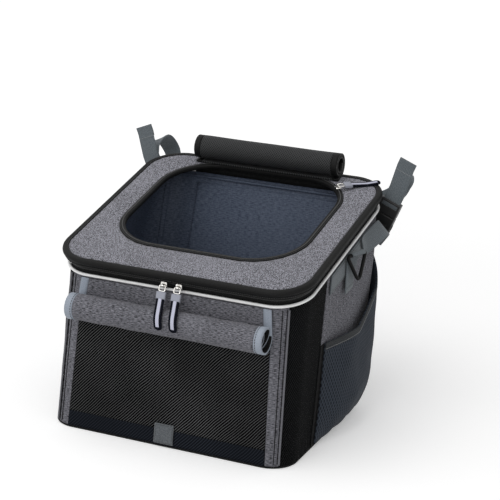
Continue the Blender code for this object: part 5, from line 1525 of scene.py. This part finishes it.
for name, side in SIDES.items():
    foot = from_rear_corner(side, -BUCKLE_FOOT_IN, -BUCKLE_INSET, -BUCKLE_FOOT_DROP)
    head = from_rear_corner(side, BUCKLE_HEAD_OUT, -BUCKLE_INSET, -BUCKLE_HEAD_DROP)
    up = unit(head - foot)
    face = -BACK
    across = unit(np.cross(up, face))
    across = across if across[0] * side > 0 else -across
    axes = np.array([across, face, up])
    for kind in ("female", "male"):
        repaint("buckle_%s_%s" % (kind, name), MOULDED)
    for part, half, (slot, material), low, high, bevel in BUCKLE_TRIM:
        trim = placed_box("buckle_%s_%s" % (part, name), low, high, foot, axes, bevel)
        fit(trim, "buckle_male_" + name if half == "male" else "basket", slot, material)
        if part.startswith("prong"):
            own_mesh(trim)

    start = foot + face * STRAP_FORWARD + up * (MALE_FOOT + SOFT_GAP)
    layer = face * (WEB_THICK + SOFT_GAP) / 2
    sideways = RIGHTWARDS * side
    share = np.linspace(0, 1, 60)[:, None]
    ease = np.clip((share - TAIL_DRIFT_START) / TAIL_DRIFT_SPAN, 0, 1)
    sway = 0.8 * MM * np.sin(share * 5) * share
    tail = start + layer + up * TAIL_LENGTH * share - sideways * TAIL_DRIFT * ease + face * sway
    strip = strap("strap_end_" + name, tail, across * WEB_WIDTH / 2, WEB_THICK)
    fit(strip, "basket", "webbing", WEBBING, "strap_tail_" + name)
    folded = tail[-TAIL_FOLD_STATIONS:] - face * WEB_THICK * 0.9
    fold = strap("strap_fold_" + name, folded, across * WEB_WIDTH / 2, WEB_THICK * 0.9)
    fit(fold, "basket", "webbing", WEBBING)
    row = across * np.linspace(-0.45, 0.45, 9)[:, None] * WEB_WIDTH + face * SEWN_PROUD
    row = row + tail[-TAIL_FOLD_STATIONS]
    stitches("strap_end_stitches_" + name, row, face, "basket", 2.4 * MM, 0.42 * MM)

    bar = from_rear_corner(side, BAR_OUT, BAR_BEHIND, BAR_RISE)
    lying = 2 * SOFT_GAP + WEB_THICK / 2
    back_middle = WHOLE_TURN / 2
    sewn = wall_point(back_middle, ANCHOR_START_SHARE, lying)
    sewn[0] = side * (BODY_WIDTH / 2 - ANCHOR_START_IN)
    end = wall_point(back_middle, ANCHOR_END_SHARE, lying)
    end[0] = side * (BODY_WIDTH / 2 - ANCHOR_END_IN)
    straight = MALE_LENGTH + BUCKLE_TRAVEL
    behind, below, inwards = BAR_RADIUS * BACK, BAR_RADIUS * DOWN, -BAR_RADIUS * sideways
    knots = [
        start - layer + up * straight,
        start - layer + up * (straight + BAR_RADIUS * 0.65) + behind * 0.8,
        bar - below,
        bar + inwards * 0.3 + behind * 0.95,
        bar + inwards * 0.8 + behind * 0.65 + below,
        (sewn + bar) / 2 + behind * 0.2 + below * 0.45,
        sewn,
        end,
    ]
    slope = unit(end - sewn)
    flat = unit(np.cross(slope, wall_point(back_middle, 1.0) - wall_point(back_middle, 0.0)))
    across_back = unit(np.cross(slope, flat))
    across_back = across_back if across_back @ across > 0 else -across_back
    rise_run = start - layer + up * straight * np.linspace(0, 0.93, 2 * FINE_STEPS)[:, None]
    path = np.concatenate([rise_run, smooth_path(knots, FINE_STEPS)])
    web = twisted("strap_loop_web_" + name, path, across, across_back, straight=2 * FINE_STEPS / len(path))
    fit(web, "basket", "webbing", WEBBING, "strap_loop_" + name)

    places = mirrored(np.array([BAND_END - LOWER_STRAP_LEAD, BAND_END]), side)
    tall = wall_height(places)
    shares = 1 - (BAND_DROP + WEB_WIDTH / 2) / tall
    lying = 4 * SOFT_GAP + 1.5 * WEB_THICK
    sewn = wall_point(places[0], shares[0], lying)
    onward = wall_point(places[1], shares[1], lying + GAP)
    free = wall_point(mirrored(LOWER_STRAP_CORNER, side), shares[1], LOWER_STRAP_OUT)
    base = foot - up * SOFT_GAP
    lead = sewn + (onward - sewn) * np.linspace(0, 1, 6, endpoint=False)[:, None]
    curve = smooth_path([onward, free, base - up * LOWER_STRAP_DIP], FINE_STEPS)
    path = np.concatenate([lead, curve, curve[-1] + (base - curve[-1]) * np.linspace(0.15, 1, 6)[:, None]])
    top_edge = wall_point(places[0], 1 - BAND_DROP / tall[0], lying)
    web = twisted("strap_lower_web_" + name, path, unit(sewn - top_edge), across)
    fit(web, "basket", "webbing", WEBBING, "buckle_strap_" + name)


bpy.context.view_layer.update()
